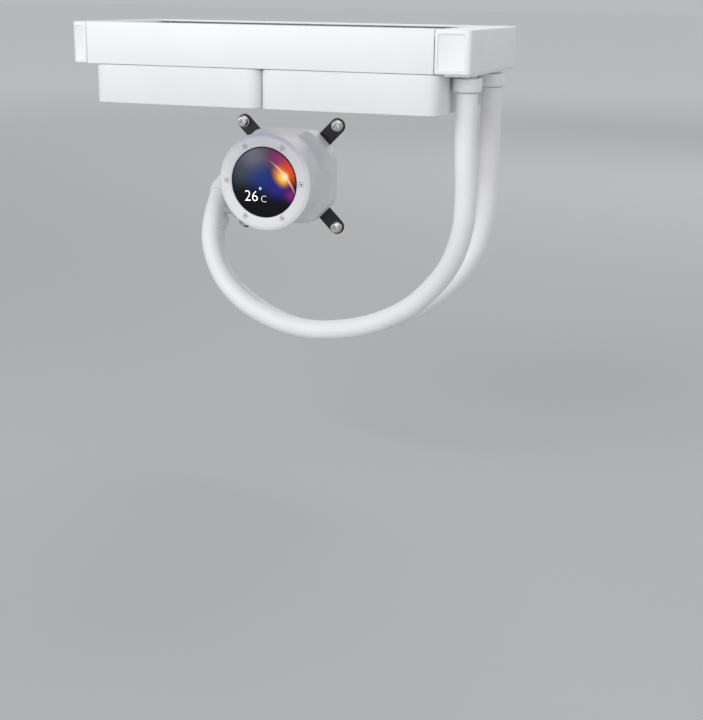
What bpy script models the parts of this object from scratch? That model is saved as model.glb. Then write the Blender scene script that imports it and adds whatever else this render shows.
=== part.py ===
"""Closed-loop liquid cooler: a 240 mm radiator, two fans, two hoses and a pump head with a round display.

Frame: X runs along the radiator, Y points away from the front side plate, Z is up.  The origin is the
centre of the radiator's top face, which bolts under the roof of a computer case.  Sizes are millimetres
and are turned into metres when a mesh is made.
"""

import math

import bmesh
import bpy
from mathutils import Matrix, Vector

MM = 0.001

# ---------------------------------------------------------------- driving dimensions (millimetres)
GAP = 0.3                 # between two pieces that touch on the real cooler
RUNNING = 0.08            # radial clearance of a shaft in its bearing
SLIP = 0.4                # radial clearance of a screw in a plain hole

FAN_SIZE = 120.0          # side of a fan frame
FAN_DEPTH = 25.0
FAN_CORNER = 7.5          # radius of the frame's upright corners
FAN_HOLE_INSET = 7.5      # screw holes from the frame's sides
FAN_WALL = 2.7            # frame wall beside the bore
FAN_HUB_RADIUS = 20.0
FAN_BLADES = 9
HUB_RECESS = 0.8          # hub's face behind the frame's face
HUB_FLOOR = 2.0
SHAFT_RADIUS = 1.5        # of the fans and of the pump
TIP_CLEARANCE = 2.0
BLADE_THICKNESS = 1.5
SPIDER_THICKNESS = 3.0    # motor disc and its arms

RADIATOR_DEPTH = 27.0     # along Z
LEFT_OVERHANG = 15.0      # radiator beyond the left fan
RIGHT_OVERHANG = 19.0     # radiator beyond the right fan
LEFT_TANK_LENGTH = 10.5
RIGHT_TANK_LENGTH = 23.0
TANK_WALL = 1.5
TANK_CORNER = 3.0
SHEET = 1.2               # side plate sheet
FLANGE = 13.0             # side plate flange
CORE_DEPTH = 17.0
TUBE_COUNT = 12
TUBE_THICKNESS = 2.2
TUBE_BORE = 1.0
FIN_COUNT = 6
FIN_THICKNESS = 0.8
HEADER_THICKNESS = 1.5
PORT_PAD = 1.2            # raised pad under the right tank
PLUG_RADIUS = 4.0         # filling plug's thread

SCREW_RADIUS = 1.7        # fan screw shank
SCREW_HEAD_RADIUS = 3.6
SCREW_HEAD_HEIGHT = 2.1
SCREW_REACH = 3.3         # fan screw beyond the fan's top face

HOSE_DIAMETER = 14.0
PORT_SPACING = 64.0       # between the two hoses at the radiator
PORT_INSET = 9.0          # hose axis from the radiator's right end
NECK_RADIUS = 5.0
NECK_BORE = 3.5
COLLAR_RADIUS = 9.3
COLLAR_DROP = 3.1         # radiator's underside to the collar
COLLAR_LENGTH = 8.7

PUMP_X, PUMP_Z = -45.0, -116.0
PLATE_FACE_Y = 107.0      # face of the cold plate, against the processor
PUMP_HEIGHT = 57.0
PUMP_RADIUS = 35.0
RING_LIP = 1.5            # face ring beyond the barrel
BARREL_WALL = 9.0
RING_THICKNESS = 3.5
RING_BEVEL = 1.6
DISPLAY_LAP = 0.1         # display glass beyond the chamber behind it
BASE_FLAT = 39.0          # centre to the left and right sides of the eight-sided base
BASE_RISE = 35.5          # centre to its top and bottom sides
BASE_DIAGONAL = 40.5      # centre to a cut corner of the base
BASE_FILLET = 11.0
PORT_FACE = 40.5          # centre to the face of the block round the ports
BASE_TOP = 25.0           # height of the base over the processor
BASE_CHAMFER = 1.2
PLATE_SIDE = 56.0
PLATE_THICKNESS = 3.0
FIN_BLOCK_SIDE = 34.0     # micro-channel block on the cold plate
FIN_BLOCK_HEIGHT = 2.4
WET_RADIUS = 24.6         # pump chamber
WET_TOP = 26.0
DRY_FLOOR = 28.5
IMPELLER_RADIUS = 20.0
IMPELLER_VANES = 6
STATOR_CLEARANCE = 5.0    # motor core to the barrel's bore
SEAL_INSET = 2.4          # seal's outer edge beyond the pump chamber
RING_SCREW_INSET = 4.0    # ring screws from the barrel's bore
RING_SCREWS = 6
RING_SCREW_RADIUS = 1.1
RING_SCREW_HEAD = 1.75
BRACKET_THICKNESS = 1.2
BRACKET_SPACING = 78.0    # square of the mounting screws
BRACKET_SCREW_RADIUS = 1.9

ELBOW_PORTS_Y = 90.0
ELBOW_RADIUS = 6.8
ELBOW_STEM_RADIUS = 4.7
ELBOW_STEM_DEPTH = 7.0
STEM_CLEARANCE = 0.25     # round an elbow's stem, where its sealing ring sits
ELBOW_BEND = 7.0
ELBOW_OUTLET = 8.4        # corner to the collar
ELBOW_COLLAR_RADIUS = 8.2
ELBOW_PORTS = {"upper": -120.0, "lower": -142.0}     # port heights
ELBOW_REACH = {"upper": 8.6, "lower": 14.0}          # elbow's corner beyond the base's side
ELBOW_TURN = {"upper": 50.0, "lower": 24.0}          # outlet forward of straight down, degrees
PORT_BLOCK = 8.0          # half height and half depth of the block round a port
PASSAGE_RADIUS = 3.2

# Centre lines of the hoses between their collars, chosen by hand.
FRONT_ROUTE = [
    (130, -32, -60), (130.7, -31.5, -82), (131, -29.5, -104), (129.2, -26.5, -124), (123.8, -21.5, -141.8),
    (115.2, -15, -157.6), (103.1, -8.5, -172.4), (88.5, -2.5, -186.3), (70.8, 3, -197.7), (50.6, 8, -206.7),
    (28.4, 12.5, -212.7), (5.2, 17, -215.7), (-17, 22.5, -214.7), (-38, 28.5, -210.2), (-57, 34.5, -202.7),
    (-72.5, 40.5, -191.8), (-83.6, 46, -177.4), (-90.1, 52, -162.2), (-92.3, 60.5, -146.5),
]
REAR_ROUTE = [
    (130, 32, -60), (130.5, 31.9, -84), (130.5, 31.4, -107), (129.2, 30.4, -127), (125, 29.3, -145.8),
    (117, 28.6, -162.9), (104.9, 28.4, -178.2), (89.8, 29, -191.2), (71.2, 30, -201.6), (49.1, 31.4, -210.5),
    (25, 33.5, -217.5), (0, 37.5, -221.5), (-23, 44, -220.5), (-45, 51.5, -215.1), (-64, 58, -207.3),
    (-79.5, 64, -198), (-91, 69.5, -186.2), (-98, 76, -172.5),
]
HOSE_STEP = 19.0          # between the points of a hose's centre line
HOSE_LEAD = 2.5           # straight stretch at both ends of a hose

# ---------------------------------------------------------------- finishes: colour, roughness, metallic
WHITE_PAINT = ((0.86, 0.86, 0.87), 0.42, 0.0)
WHITE_PLASTIC = ((0.84, 0.84, 0.85), 0.45, 0.0)
WHITE_RUBBER = ((0.82, 0.82, 0.83), 0.62, 0.0)
MILKY_PLASTIC = ((0.78, 0.84, 0.9), 0.3, 0.0)
BARE_ALUMINIUM = ((0.72, 0.73, 0.74), 0.35, 1.0)
STEEL = ((0.62, 0.62, 0.63), 0.3, 1.0)
BLACK_STEEL = ((0.03, 0.03, 0.032), 0.4, 0.6)
COPPER = ((0.85, 0.45, 0.3), 0.25, 1.0)
BRASS = ((0.76, 0.6, 0.3), 0.35, 1.0)
BLACK_RUBBER = ((0.02, 0.02, 0.02), 0.8, 0.0)
BLACK_PLASTIC = ((0.03, 0.03, 0.035), 0.5, 0.0)
CIRCUIT_BOARD = ((0.03, 0.09, 0.06), 0.5, 0.0)
DARK_GLASS = ((0.01, 0.01, 0.015), 0.08, 0.0)

# ---------------------------------------------------------------- places worked out from the dimensions
ALONG_LEFT = -FAN_SIZE - LEFT_OVERHANG
ALONG_RIGHT = FAN_SIZE + RIGHT_OVERHANG
RADIATOR_WIDTH = FAN_SIZE                            # along Y
HALF_WIDTH = RADIATOR_WIDTH / 2
LEFT_MOUTH = ALONG_LEFT + LEFT_TANK_LENGTH
RIGHT_MOUTH = ALONG_RIGHT - RIGHT_TANK_LENGTH
UNDERSIDE = -RADIATOR_DEPTH
CORE_LOW = (UNDERSIDE - CORE_DEPTH) / 2
CORE_HIGH = CORE_LOW + CORE_DEPTH
FAN_TOP = UNDERSIDE - GAP
FAN_BORE = FAN_SIZE / 2 - FAN_WALL
FAN_HOLE_SPACING = FAN_SIZE - 2 * FAN_HOLE_INSET
FAN_CENTRES = {"left": -FAN_SIZE / 2, "right": FAN_SIZE / 2}
PORT_X = ALONG_RIGHT - PORT_INSET
PORTS = {"front": -PORT_SPACING / 2, "rear": PORT_SPACING / 2}
PUMP_TO_WORLD = Matrix.Translation((PUMP_X, PLATE_FACE_Y, PUMP_Z)) @ Matrix.Rotation(math.pi / 2, 4, "X")
BASE_SIDE_X = PUMP_X - PORT_FACE
BASE_UNDERSIDE = PLATE_THICKNESS + BRACKET_THICKNESS + 2 * GAP
RING_RADIUS = PUMP_RADIUS + RING_LIP
DRY_RADIUS = PUMP_RADIUS - BARREL_WALL               # chamber of the motor, the board and the display
DISPLAY_RADIUS = DRY_RADIUS + DISPLAY_LAP
RING_SCREW_CIRCLE = DRY_RADIUS + RING_SCREW_INSET
SEAL_RADIUS = WET_RADIUS + SEAL_INSET


# ---------------------------------------------------------------- shapes, added to a bmesh
def block(bm, low, high):
    """A box between two corners."""
    size = [b - a for a, b in zip(low, high)]
    centre = [(a + b) / 2 for a, b in zip(low, high)]
    bmesh.ops.create_cube(bm, size=1.0, matrix=Matrix.Translation(centre) @ Matrix.Diagonal((*size, 1.0)))


def rod(bm, radius, start, end, segments=24):
    """A round bar between two points."""
    start, end = Vector(start), Vector(end)
    turn = (end - start).to_track_quat("Z", "Y").to_matrix().to_4x4()
    bmesh.ops.create_cone(
        bm, cap_ends=True, segments=segments, radius1=radius, radius2=radius,
        depth=(end - start).length, matrix=Matrix.Translation((start + end) / 2) @ turn,
    )


def prism(bm, outline, low, high, matrix=None):
    """A flat outline raised from one height to another."""
    face = bm.faces.new([bm.verts.new((x, y, low)) for x, y in outline])
    verts = list(face.verts)
    raised = bmesh.ops.extrude_face_region(bm, geom=[face])["geom"]
    top = [g for g in raised if isinstance(g, bmesh.types.BMVert)]
    bmesh.ops.translate(bm, vec=(0, 0, high - low), verts=top)
    bmesh.ops.transform(bm, matrix=matrix or Matrix(), verts=verts + top)


def turned(bm, profile, segments=24, matrix=None):
    """A profile of (radius, height) points turned about Z; it is closed unless it ends on the axis."""
    verts = [bm.verts.new((radius, 0.0, height)) for radius, height in profile]
    pairs = list(zip(verts, verts[1:]))
    if profile[0][0] > 0 or profile[-1][0] > 0:
        pairs.append((verts[-1], verts[0]))
    edges = [bm.edges.new(pair) for pair in pairs]
    bmesh.ops.spin(
        bm, geom=verts + edges, cent=(0, 0, 0), axis=(0, 0, 1), angle=math.tau,
        steps=segments, use_merge=True,
    )
    bmesh.ops.remove_doubles(bm, verts=bm.verts, dist=1e-5)
    bmesh.ops.transform(bm, matrix=matrix or Matrix(), verts=bm.verts)


def ring_sweep(bm, rings, across, segments=16):
    """Rings of (centre, tangent, radius) joined in order, and the last one to the first."""
    loops = []
    for centre, tangent, radius in rings:
        up = Vector(tangent).cross(across).normalized()
        loops.append([
            bm.verts.new(Vector(centre) + radius * (math.cos(a) * across + math.sin(a) * up))
            for a in (math.tau * k / segments for k in range(segments))
        ])
    for one, two in zip(loops, loops[1:] + loops[:1]):
        for k in range(segments):
            after = (k + 1) % segments
            bm.faces.new((one[k], one[after], two[after], two[k]))


def rounded(corners, radius, steps=4):
    """A convex outline, anticlockwise, with its corners rounded."""
    points = []
    for before, corner, after in zip(corners[-1:] + corners[:-1], corners, corners[1:] + corners[:1]):
        corner = Vector(corner)
        inward, outward = (Vector(before) - corner).normalized(), (Vector(after) - corner).normalized()
        half = inward.angle(outward) / 2
        centre = corner + (inward + outward).normalized() * radius / math.sin(half)
        start = corner + inward * radius / math.tan(half) - centre
        sweep = math.pi - 2 * half
        for k in range(steps + 1):
            angle = sweep * k / steps
            points.append((
                centre.x + start.x * math.cos(angle) - start.y * math.sin(angle),
                centre.y + start.x * math.sin(angle) + start.y * math.cos(angle),
            ))
    return points


def rectangle(half_x, half_y, radius, steps=4):
    """A rounded rectangle about the middle."""
    corners = [(-half_x, -half_y), (half_x, -half_y), (half_x, half_y), (-half_x, half_y)]
    return rounded(corners, radius, steps)


def toothed(inner_gap, outer, teeth, share=0.72, steps=3):
    """A round outline with slots cut in from its rim, as a motor's poles have."""
    points = []
    for tooth in range(teeth):
        middle = math.tau * tooth / teeth
        half = math.pi / teeth
        for k in range(steps + 1):
            angle = middle + half * share * (2 * k / steps - 1)
            points.append((outer * math.cos(angle), outer * math.sin(angle)))
        for angle in (middle + half * (share + 0.05), middle + half * (2 - share - 0.05)):
            points.append((inner_gap * math.cos(angle), inner_gap * math.sin(angle)))
    return points


def spider(disc, reach, half_arm, arms=4, steps=3):
    """A disc with straight round-ended arms, on the diagonals."""
    points = []
    edge = math.asin(half_arm / disc)
    for arm in range(arms):
        middle = math.tau * (arm + 0.5) / arms
        along = Vector((math.cos(middle), math.sin(middle)))
        side = Vector((-along.y, along.x))
        root, tip = disc * math.cos(edge), reach - half_arm
        points.append(tuple(along * root - side * half_arm))
        for k in range(2 * steps + 1):
            angle = math.pi * (k / (2 * steps) - 0.5)
            out, aside = tip + half_arm * math.cos(angle), half_arm * math.sin(angle)
            points.append(tuple(along * out + side * aside))
        points.append(tuple(along * root + side * half_arm))
        free = math.tau / arms - 2 * edge
        for k in range(1, steps):
            angle = middle + edge + free * k / steps
            points.append((disc * math.cos(angle), disc * math.sin(angle)))
    return points


def smooth_route(points, step):
    """Even points on a smooth curve through the route, which starts and ends along its first chords."""
    points = [Vector(p) for p in points]
    spans = [(b - a).length for a, b in zip(points, points[1:])]
    slopes = [(b - a) / d for a, b, d in zip(points, points[1:], spans)]
    tangents = [slopes[0]]
    for one, two, before, after in zip(slopes, slopes[1:], spans, spans[1:]):
        tangents.append((one * after + two * before) / (before + after))
    tangents.append(slopes[-1])
    fine = []
    for k, span in enumerate(spans):
        for i in range(24):
            t = i / 24
            fine.append(
                points[k] * (1 + 2 * t) * (1 - t) ** 2 + tangents[k] * span * t * (1 - t) ** 2
                + points[k + 1] * t * t * (3 - 2 * t) + tangents[k + 1] * span * t * t * (t - 1)
            )
    fine.append(points[-1])
    run = [0.0]
    for a, b in zip(fine, fine[1:]):
        run.append(run[-1] + (b - a).length)
    count = round(run[-1] / step)
    even, k = [], 0
    for i in range(count + 1):
        want = run[-1] * i / count
        while k < len(run) - 2 and run[k + 1] < want:
            k += 1
        even.append(fine[k].lerp(fine[k + 1], (want - run[k]) / (run[k + 1] - run[k])))
    return even


# ---------------------------------------------------------------- objects
def finish(name, look):
    """One material for one piece."""
    colour, roughness, metallic = look
    material = bpy.data.materials.new(name)
    material.use_nodes = True
    shader = material.node_tree.nodes["Principled BSDF"]
    shader.inputs["Base Color"].default_value = (*colour, 1.0)
    shader.inputs["Roughness"].default_value = roughness
    shader.inputs["Metallic"].default_value = metallic
    return material


def add_piece(name, bm, look, origin=(0, 0, 0), smooth=True):
    """A named piece from a mesh in millimetres, with its origin where it turns or at the frame's."""
    bmesh.ops.recalc_face_normals(bm, faces=bm.faces)
    bmesh.ops.translate(bm, vec=-Vector(origin), verts=bm.verts)
    bmesh.ops.scale(bm, vec=(MM, MM, MM), verts=bm.verts)
    mesh = bpy.data.meshes.new(name)
    bm.to_mesh(mesh)
    bm.free()
    if smooth:
        mesh.shade_smooth()
        mesh.set_sharp_from_angle(angle=math.radians(35))
    mesh.materials.append(finish(name, look))
    piece = bpy.data.objects.new(name, mesh)
    piece.location = Vector(origin) * MM
    bpy.context.scene.collection.objects.link(piece)
    return piece


def shape_with(piece, operation, bm):
    """Cut a piece with, or join to it, the shapes in a bmesh."""
    tool = add_piece(f"tool_{len(bpy.data.objects)}", bm, BLACK_PLASTIC, smooth=False)
    tool.hide_render = True
    tool.display_type = "WIRE"
    modifier = piece.modifiers.new(operation.lower(), "BOOLEAN")
    modifier.operation = operation
    modifier.solver = "EXACT"
    modifier.object = tool


def clear_scene():
    """Remove whatever the file holds."""
    for found in list(bpy.data.objects):
        bpy.data.objects.remove(found, do_unlink=True)


def make(name, look, shape, *args, origin=(0, 0, 0), **options):
    """A piece of one shape."""
    bm = bmesh.new()
    shape(bm, *args, **options)
    return add_piece(name, bm, look, origin)


# ---------------------------------------------------------------- radiator
def tube_places():
    """The flat tubes' places across the core."""
    pitch = (RADIATOR_WIDTH - 2 * SHEET) / (TUBE_COUNT + 0.4)
    return [pitch * (k - (TUBE_COUNT - 1) / 2) for k in range(TUBE_COUNT)]


def make_core():
    """Flat tubes with cross fins brazed between them."""
    start, end = LEFT_MOUTH - HEADER_THICKNESS - 2 * GAP, RIGHT_MOUTH + HEADER_THICKNESS + 2 * GAP
    half = HALF_WIDTH - SHEET - 2 * GAP
    bm = bmesh.new()
    for y in tube_places():
        block(bm, (start, y - TUBE_THICKNESS / 2, CORE_LOW), (end, y + TUBE_THICKNESS / 2, CORE_HIGH))
    core = add_piece("radiator_core", bm, BARE_ALUMINIUM)
    bm = bmesh.new()
    pitch = (RIGHT_MOUTH - LEFT_MOUTH) / FIN_COUNT
    for k in range(FIN_COUNT):
        x = LEFT_MOUTH + pitch * (k + 0.5)
        low, high = CORE_LOW + 0.5, CORE_HIGH - 0.5
        block(bm, (x - FIN_THICKNESS / 2, -half, low), (x + FIN_THICKNESS / 2, half, high))
    shape_with(core, "UNION", bm)
    bm = bmesh.new()
    wall = (TUBE_THICKNESS - TUBE_BORE) / 2
    for y in tube_places():
        low = (start - 1, y - TUBE_BORE / 2, CORE_LOW + wall)
        block(bm, low, (end + 1, y + TUBE_BORE / 2, CORE_HIGH - wall))
    shape_with(core, "DIFFERENCE", bm)


def make_header(name, outer_x, inner_x):
    """The plate that closes a tank's mouth, with a slot for each tube."""
    half, low, high = HALF_WIDTH - TANK_WALL - GAP, UNDERSIDE + TANK_WALL + GAP, -TANK_WALL - GAP
    first, last = sorted((outer_x, inner_x))
    header = make(name, BARE_ALUMINIUM, block, (first, -half, low), (last, half, high))
    bm = bmesh.new()
    for y in tube_places():
        reach = TUBE_THICKNESS / 2 + GAP
        block(bm, (first - 1, y - reach, CORE_LOW - GAP), (last + 1, y + reach, CORE_HIGH + GAP))
    shape_with(header, "DIFFERENCE", bm)


def make_tank(name, outer_x, mouth_x, panel):
    """An end tank: a box open towards the core, with a shallow panel pressed into both sides."""
    middle = (outer_x + mouth_x) / 2
    half_length = abs(outer_x - mouth_x) / 2
    about_x = Matrix.Translation((middle, 0, 0))
    bm = bmesh.new()
    prism(bm, rectangle(half_length, HALF_WIDTH, TANK_CORNER), UNDERSIDE, 0.0, about_x)
    tank = add_piece(name, bm, WHITE_PAINT)
    inward = 1 if mouth_x > outer_x else -1
    bm = bmesh.new()
    first, last = sorted((outer_x + inward * TANK_WALL, mouth_x + inward))
    half = HALF_WIDTH - TANK_WALL
    block(bm, (first, -half, UNDERSIDE + TANK_WALL), (last, half, -TANK_WALL))
    shape_with(tank, "DIFFERENCE", bm)
    bm = bmesh.new()
    for side in (-1, 1):
        depth = sorted((side * (HALF_WIDTH - panel["depth"]), side * (HALF_WIDTH + 1)))
        turn = Matrix.Translation((panel["middle"], 0, UNDERSIDE / 2)) @ Matrix.Rotation(math.pi / 2, 4, "X")
        outline = rectangle(panel["half"], RADIATOR_DEPTH / 2 - panel["rim"], 1.2, 2)
        prism(bm, outline, -depth[1], -depth[0], turn)
    shape_with(tank, "DIFFERENCE", bm)
    return tank


def make_right_tank():
    """The right tank also carries a raised pad and two pipe necks on its underside."""
    panel = {"middle": RIGHT_MOUTH + 10.6, "half": 8.6, "rim": 2.8, "depth": 0.6}
    tank = make_tank("right_tank", ALONG_RIGHT, RIGHT_MOUTH, panel)
    bm = bmesh.new()
    block(
        bm, (FAN_SIZE + 1.5, -HALF_WIDTH + 2.0, UNDERSIDE - PORT_PAD),
        (ALONG_RIGHT - 0.8, HALF_WIDTH - 2.0, UNDERSIDE + 0.5),
    )
    shape_with(tank, "UNION", bm)
    neck_end = UNDERSIDE - COLLAR_DROP - COLLAR_LENGTH + 1.0
    for radius, operation, start, end in (
        (NECK_RADIUS, "UNION", UNDERSIDE + 0.5, neck_end),
        (NECK_BORE, "DIFFERENCE", UNDERSIDE + TANK_WALL + 1, neck_end - 1),
    ):
        bm = bmesh.new()
        for y in PORTS.values():
            rod(bm, radius, (PORT_X, y, start), (PORT_X, y, end), 20)
        shape_with(tank, operation, bm)


def make_left_tank():
    """The left tank has a threaded filling hole in its end."""
    panel = {"middle": ALONG_LEFT + 5.3, "half": 3.6, "rim": 2.8, "depth": 0.5}
    tank = make_tank("left_tank", ALONG_LEFT, LEFT_MOUTH, panel)
    bm = bmesh.new()
    middle = UNDERSIDE / 2
    rod(bm, PLUG_RADIUS + GAP, (ALONG_LEFT - 1, 0, middle), (ALONG_LEFT + TANK_WALL + 1, 0, middle))
    shape_with(tank, "DIFFERENCE", bm)
    bm = bmesh.new()
    outwards = Matrix.Translation((ALONG_LEFT, 0, middle)) @ Matrix.Rotation(-math.pi / 2, 4, "Y")
    profile = [
        (0, -5.0), (PLUG_RADIUS, -5.0), (PLUG_RADIUS, GAP), (6.6, GAP), (6.6, 1.6),
        (6.0, 2.2), (2.4, 2.2), (2.4, 0.8), (0, 0.8),
    ]
    turned(bm, profile, 16, outwards)
    add_piece("fill_plug", bm, STEEL)


def make_side_plates():
    """A folded channel along each long side, with the fan holes and the case holes in its flanges."""
    start, end = LEFT_MOUTH + GAP, RIGHT_MOUTH - GAP
    for name, side in (("front_side_plate", -1), ("rear_side_plate", 1)):
        outer, inner = side * HALF_WIDTH, side * (HALF_WIDTH - FLANGE)
        wall = side * (HALF_WIDTH - SHEET)
        low, high = UNDERSIDE, 0.0
        outline = [
            (outer, low), (outer, high), (inner, high), (inner, high - SHEET),
            (wall, high - SHEET), (wall, low + SHEET), (inner, low + SHEET), (inner, low),
        ]
        bm = bmesh.new()
        along_x = Matrix(((0, 0, 1, 0), (1, 0, 0, 0), (0, 1, 0, 0), (0, 0, 0, 1)))
        prism(bm, outline, start, end, along_x)
        plate = add_piece(name, bm, WHITE_PAINT, smooth=False)
        bm = bmesh.new()
        for centre in FAN_CENTRES.values():
            for x in (centre - FAN_HOLE_SPACING / 2, centre + FAN_HOLE_SPACING / 2):
                y = side * FAN_HOLE_SPACING / 2
                rod(bm, SCREW_RADIUS + SLIP, (x, y, low - 1), (x, y, high + 1), 12)
        shape_with(plate, "DIFFERENCE", bm)


def make_divider():
    """The wall inside the right tank that sends the water out through one half of the tubes."""
    start, end = RIGHT_MOUTH + HEADER_THICKNESS + 4 * GAP, ALONG_RIGHT - TANK_WALL - GAP
    low, high = UNDERSIDE + TANK_WALL + GAP, -TANK_WALL - GAP
    make("tank_divider", BARE_ALUMINIUM, block, (start, -0.6, low), (end, 0.6, high))


def make_radiator():
    """The whole radiator."""
    make_core()
    make_left_tank()
    make_right_tank()
    make_header("left_header", LEFT_MOUTH - HEADER_THICKNESS, LEFT_MOUTH)
    make_header("right_header", RIGHT_MOUTH + HEADER_THICKNESS, RIGHT_MOUTH)
    make_side_plates()
    make_divider()


# ---------------------------------------------------------------- fans
def hole_places(centre_x):
    """The four screw holes of a fan."""
    half = FAN_HOLE_SPACING / 2
    return [(centre_x + sx * half, sy * half) for sx, sy in ((-1, -1), (1, -1), (1, 1), (-1, 1))]


def make_fan_frame(name, centre_x):
    """A square frame with a round bore, a motor disc on four arms, and counterbored corner holes."""
    at_centre = Matrix.Translation((centre_x, 0, FAN_TOP))
    bottom = -FAN_DEPTH
    half = FAN_SIZE / 2 - GAP / 2
    bm = bmesh.new()
    prism(bm, rectangle(half, half, FAN_CORNER), bottom, 0.0, at_centre)
    frame = add_piece(name, bm, WHITE_PLASTIC)
    bm = bmesh.new()
    rod(bm, FAN_BORE, (centre_x, 0, FAN_TOP + 1), (centre_x, 0, FAN_TOP + bottom - 1), 40)
    shape_with(frame, "DIFFERENCE", bm)
    bm = bmesh.new()
    prism(bm, spider(FAN_HUB_RADIUS, FAN_BORE + 1.5, 3.0), -SPIDER_THICKNESS, -0.2, at_centre)
    shape_with(frame, "UNION", bm)
    bm = bmesh.new()
    rod(bm, 4.2, (centre_x, 0, FAN_TOP + 1), (centre_x, 0, FAN_TOP - SPIDER_THICKNESS - 1), 16)
    for x, y in hole_places(centre_x):
        rod(bm, SCREW_RADIUS + SLIP, (x, y, FAN_TOP + 1), (x, y, FAN_TOP + bottom - 1), 12)
    shape_with(frame, "DIFFERENCE", bm)
    bm = bmesh.new()
    for x, y in hole_places(centre_x):
        seat = FAN_TOP + bottom + SCREW_HEAD_HEIGHT + 2 * GAP
        rod(bm, SCREW_HEAD_RADIUS + SLIP, (x, y, seat), (x, y, FAN_TOP + bottom - 1), 12)
    shape_with(frame, "DIFFERENCE", bm)


def blade(bm, index, centre_x):
    """One swept and pitched blade, rooted in the hub's wall."""
    tip = FAN_BORE - TIP_CLEARANCE
    root = FAN_HUB_RADIUS - 0.9
    stations = [
        (root, 0.0, 30.0, 13.5), (32.0, 9.0, 31.0, 14.5), (44.0, 22.0, 32.0, 14.0), (tip, 38.0, 33.0, 13.0),
    ]
    middle_height = FAN_TOP - FAN_DEPTH / 2 - 0.5
    start = 360.0 * index / FAN_BLADES
    layers = []
    for radius, sweep, width, rise in stations:
        row = []
        for across in (-0.5, 0.0, 0.5):
            angle = math.radians(start + sweep + width * across)
            camber = 1.2 * (1 - 4 * across * across)
            height = middle_height + rise * across + camber
            row.append((radius * math.cos(angle) + centre_x, radius * math.sin(angle), height))
        layers.append(row)
    sides = []
    for offset in (-BLADE_THICKNESS / 2, BLADE_THICKNESS / 2):
        sides.append([[bm.verts.new((x, y, z + offset)) for x, y, z in row] for row in layers])
    below, above = sides
    last, rear = len(layers) - 1, 2
    for grid in sides:
        for i in range(last):
            for j in range(rear):
                bm.faces.new((grid[i][j], grid[i + 1][j], grid[i + 1][j + 1], grid[i][j + 1]))
    for i in range(last):
        for j in (0, rear):
            bm.faces.new((below[i][j], below[i + 1][j], above[i + 1][j], above[i][j]))
    for j in range(rear):
        for i in (0, last):
            bm.faces.new((below[i][j], below[i][j + 1], above[i][j + 1], above[i][j]))


def make_rotor(name, centre_x):
    """The hub cup with its ring of blades."""
    axis = (centre_x, 0, FAN_TOP)
    at_centre = Matrix.Translation(axis)
    bottom = -FAN_DEPTH + HUB_RECESS
    cup_top = -SPIDER_THICKNESS - 1.4
    outer, inner = FAN_HUB_RADIUS, FAN_HUB_RADIUS - 1.6
    bm = bmesh.new()
    profile = [
        (0, bottom), (outer - 1.2, bottom), (outer, bottom + 1.2), (outer, cup_top),
        (inner, cup_top), (inner, bottom + HUB_FLOOR), (0, bottom + HUB_FLOOR),
    ]
    turned(bm, profile, 30, at_centre)
    rotor = add_piece(name, bm, MILKY_PLASTIC, origin=axis)
    bm = bmesh.new()
    for index in range(FAN_BLADES):
        blade(bm, index, centre_x)
    shape_with(rotor, "UNION", bm)


def make_fan(side):
    """A fan: frame, rotor on its shaft, bearing, motor and light board, and four long screws."""
    name, centre_x = f"fan_{side}", FAN_CENTRES[side]
    axis = (centre_x, 0, FAN_TOP)
    at_centre = Matrix.Translation(axis)
    make_fan_frame(f"{name}_frame", centre_x)
    make_rotor(f"{name}_rotor", centre_x)
    floor = -FAN_DEPTH + HUB_RECESS + HUB_FLOOR + GAP
    low, high = (centre_x, 0, FAN_TOP + floor), (centre_x, 0, FAN_TOP - 2.0)
    make(f"{name}_shaft", STEEL, rod, SHAFT_RADIUS, low, high, 16, origin=axis)
    bore = SHAFT_RADIUS + RUNNING
    sleeve = [(bore, -17.5), (3.9, -17.5), (3.9, -0.8), (bore, -0.8)]
    make(f"{name}_bearing", BRASS, turned, sleeve, 16, at_centre)
    bm = bmesh.new()
    prism(bm, toothed(7.5, 15.0, 4), -16.0, -7.5, at_centre)
    stator = add_piece(f"{name}_stator", bm, BLACK_STEEL)
    bm = bmesh.new()
    rod(bm, 3.9 + GAP, (centre_x, 0, FAN_TOP), (centre_x, 0, FAN_TOP - FAN_DEPTH), 16)
    shape_with(stator, "DIFFERENCE", bm)
    board = [(3.9 + GAP, -6.2), (17.6, -6.2), (17.6, -5.0), (3.9 + GAP, -5.0)]
    make(f"{name}_led_board", CIRCUIT_BOARD, turned, board, 24, at_centre)
    for number, (x, y) in enumerate(hole_places(centre_x), 1):
        low = -FAN_DEPTH + 0.2
        head_top = low + SCREW_HEAD_HEIGHT
        profile = [
            (0, low + 0.9), (1.3, low + 0.9), (1.3, low), (SCREW_HEAD_RADIUS, low),
            (SCREW_HEAD_RADIUS, head_top), (SCREW_RADIUS, head_top), (SCREW_RADIUS, SCREW_REACH - 0.8),
            (SCREW_RADIUS - 0.8, SCREW_REACH), (0, SCREW_REACH),
        ]
        make(f"{name}_screw_{number}", BLACK_STEEL, turned, profile, 10, Matrix.Translation((x, y, FAN_TOP)))


# ---------------------------------------------------------------- pump head, built upwards from the processor
def octagon(flat, rise, diagonal, fillet, steps=3):
    """The base's outline: four sides and four cut corners."""
    side, top = diagonal * math.sqrt(2) - flat, diagonal * math.sqrt(2) - rise
    corners = [
        (flat, -side), (flat, side), (top, rise), (-top, rise),
        (-flat, side), (-flat, -side), (-top, -rise), (top, -rise),
    ]
    return rounded(corners, fillet, steps)


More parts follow.
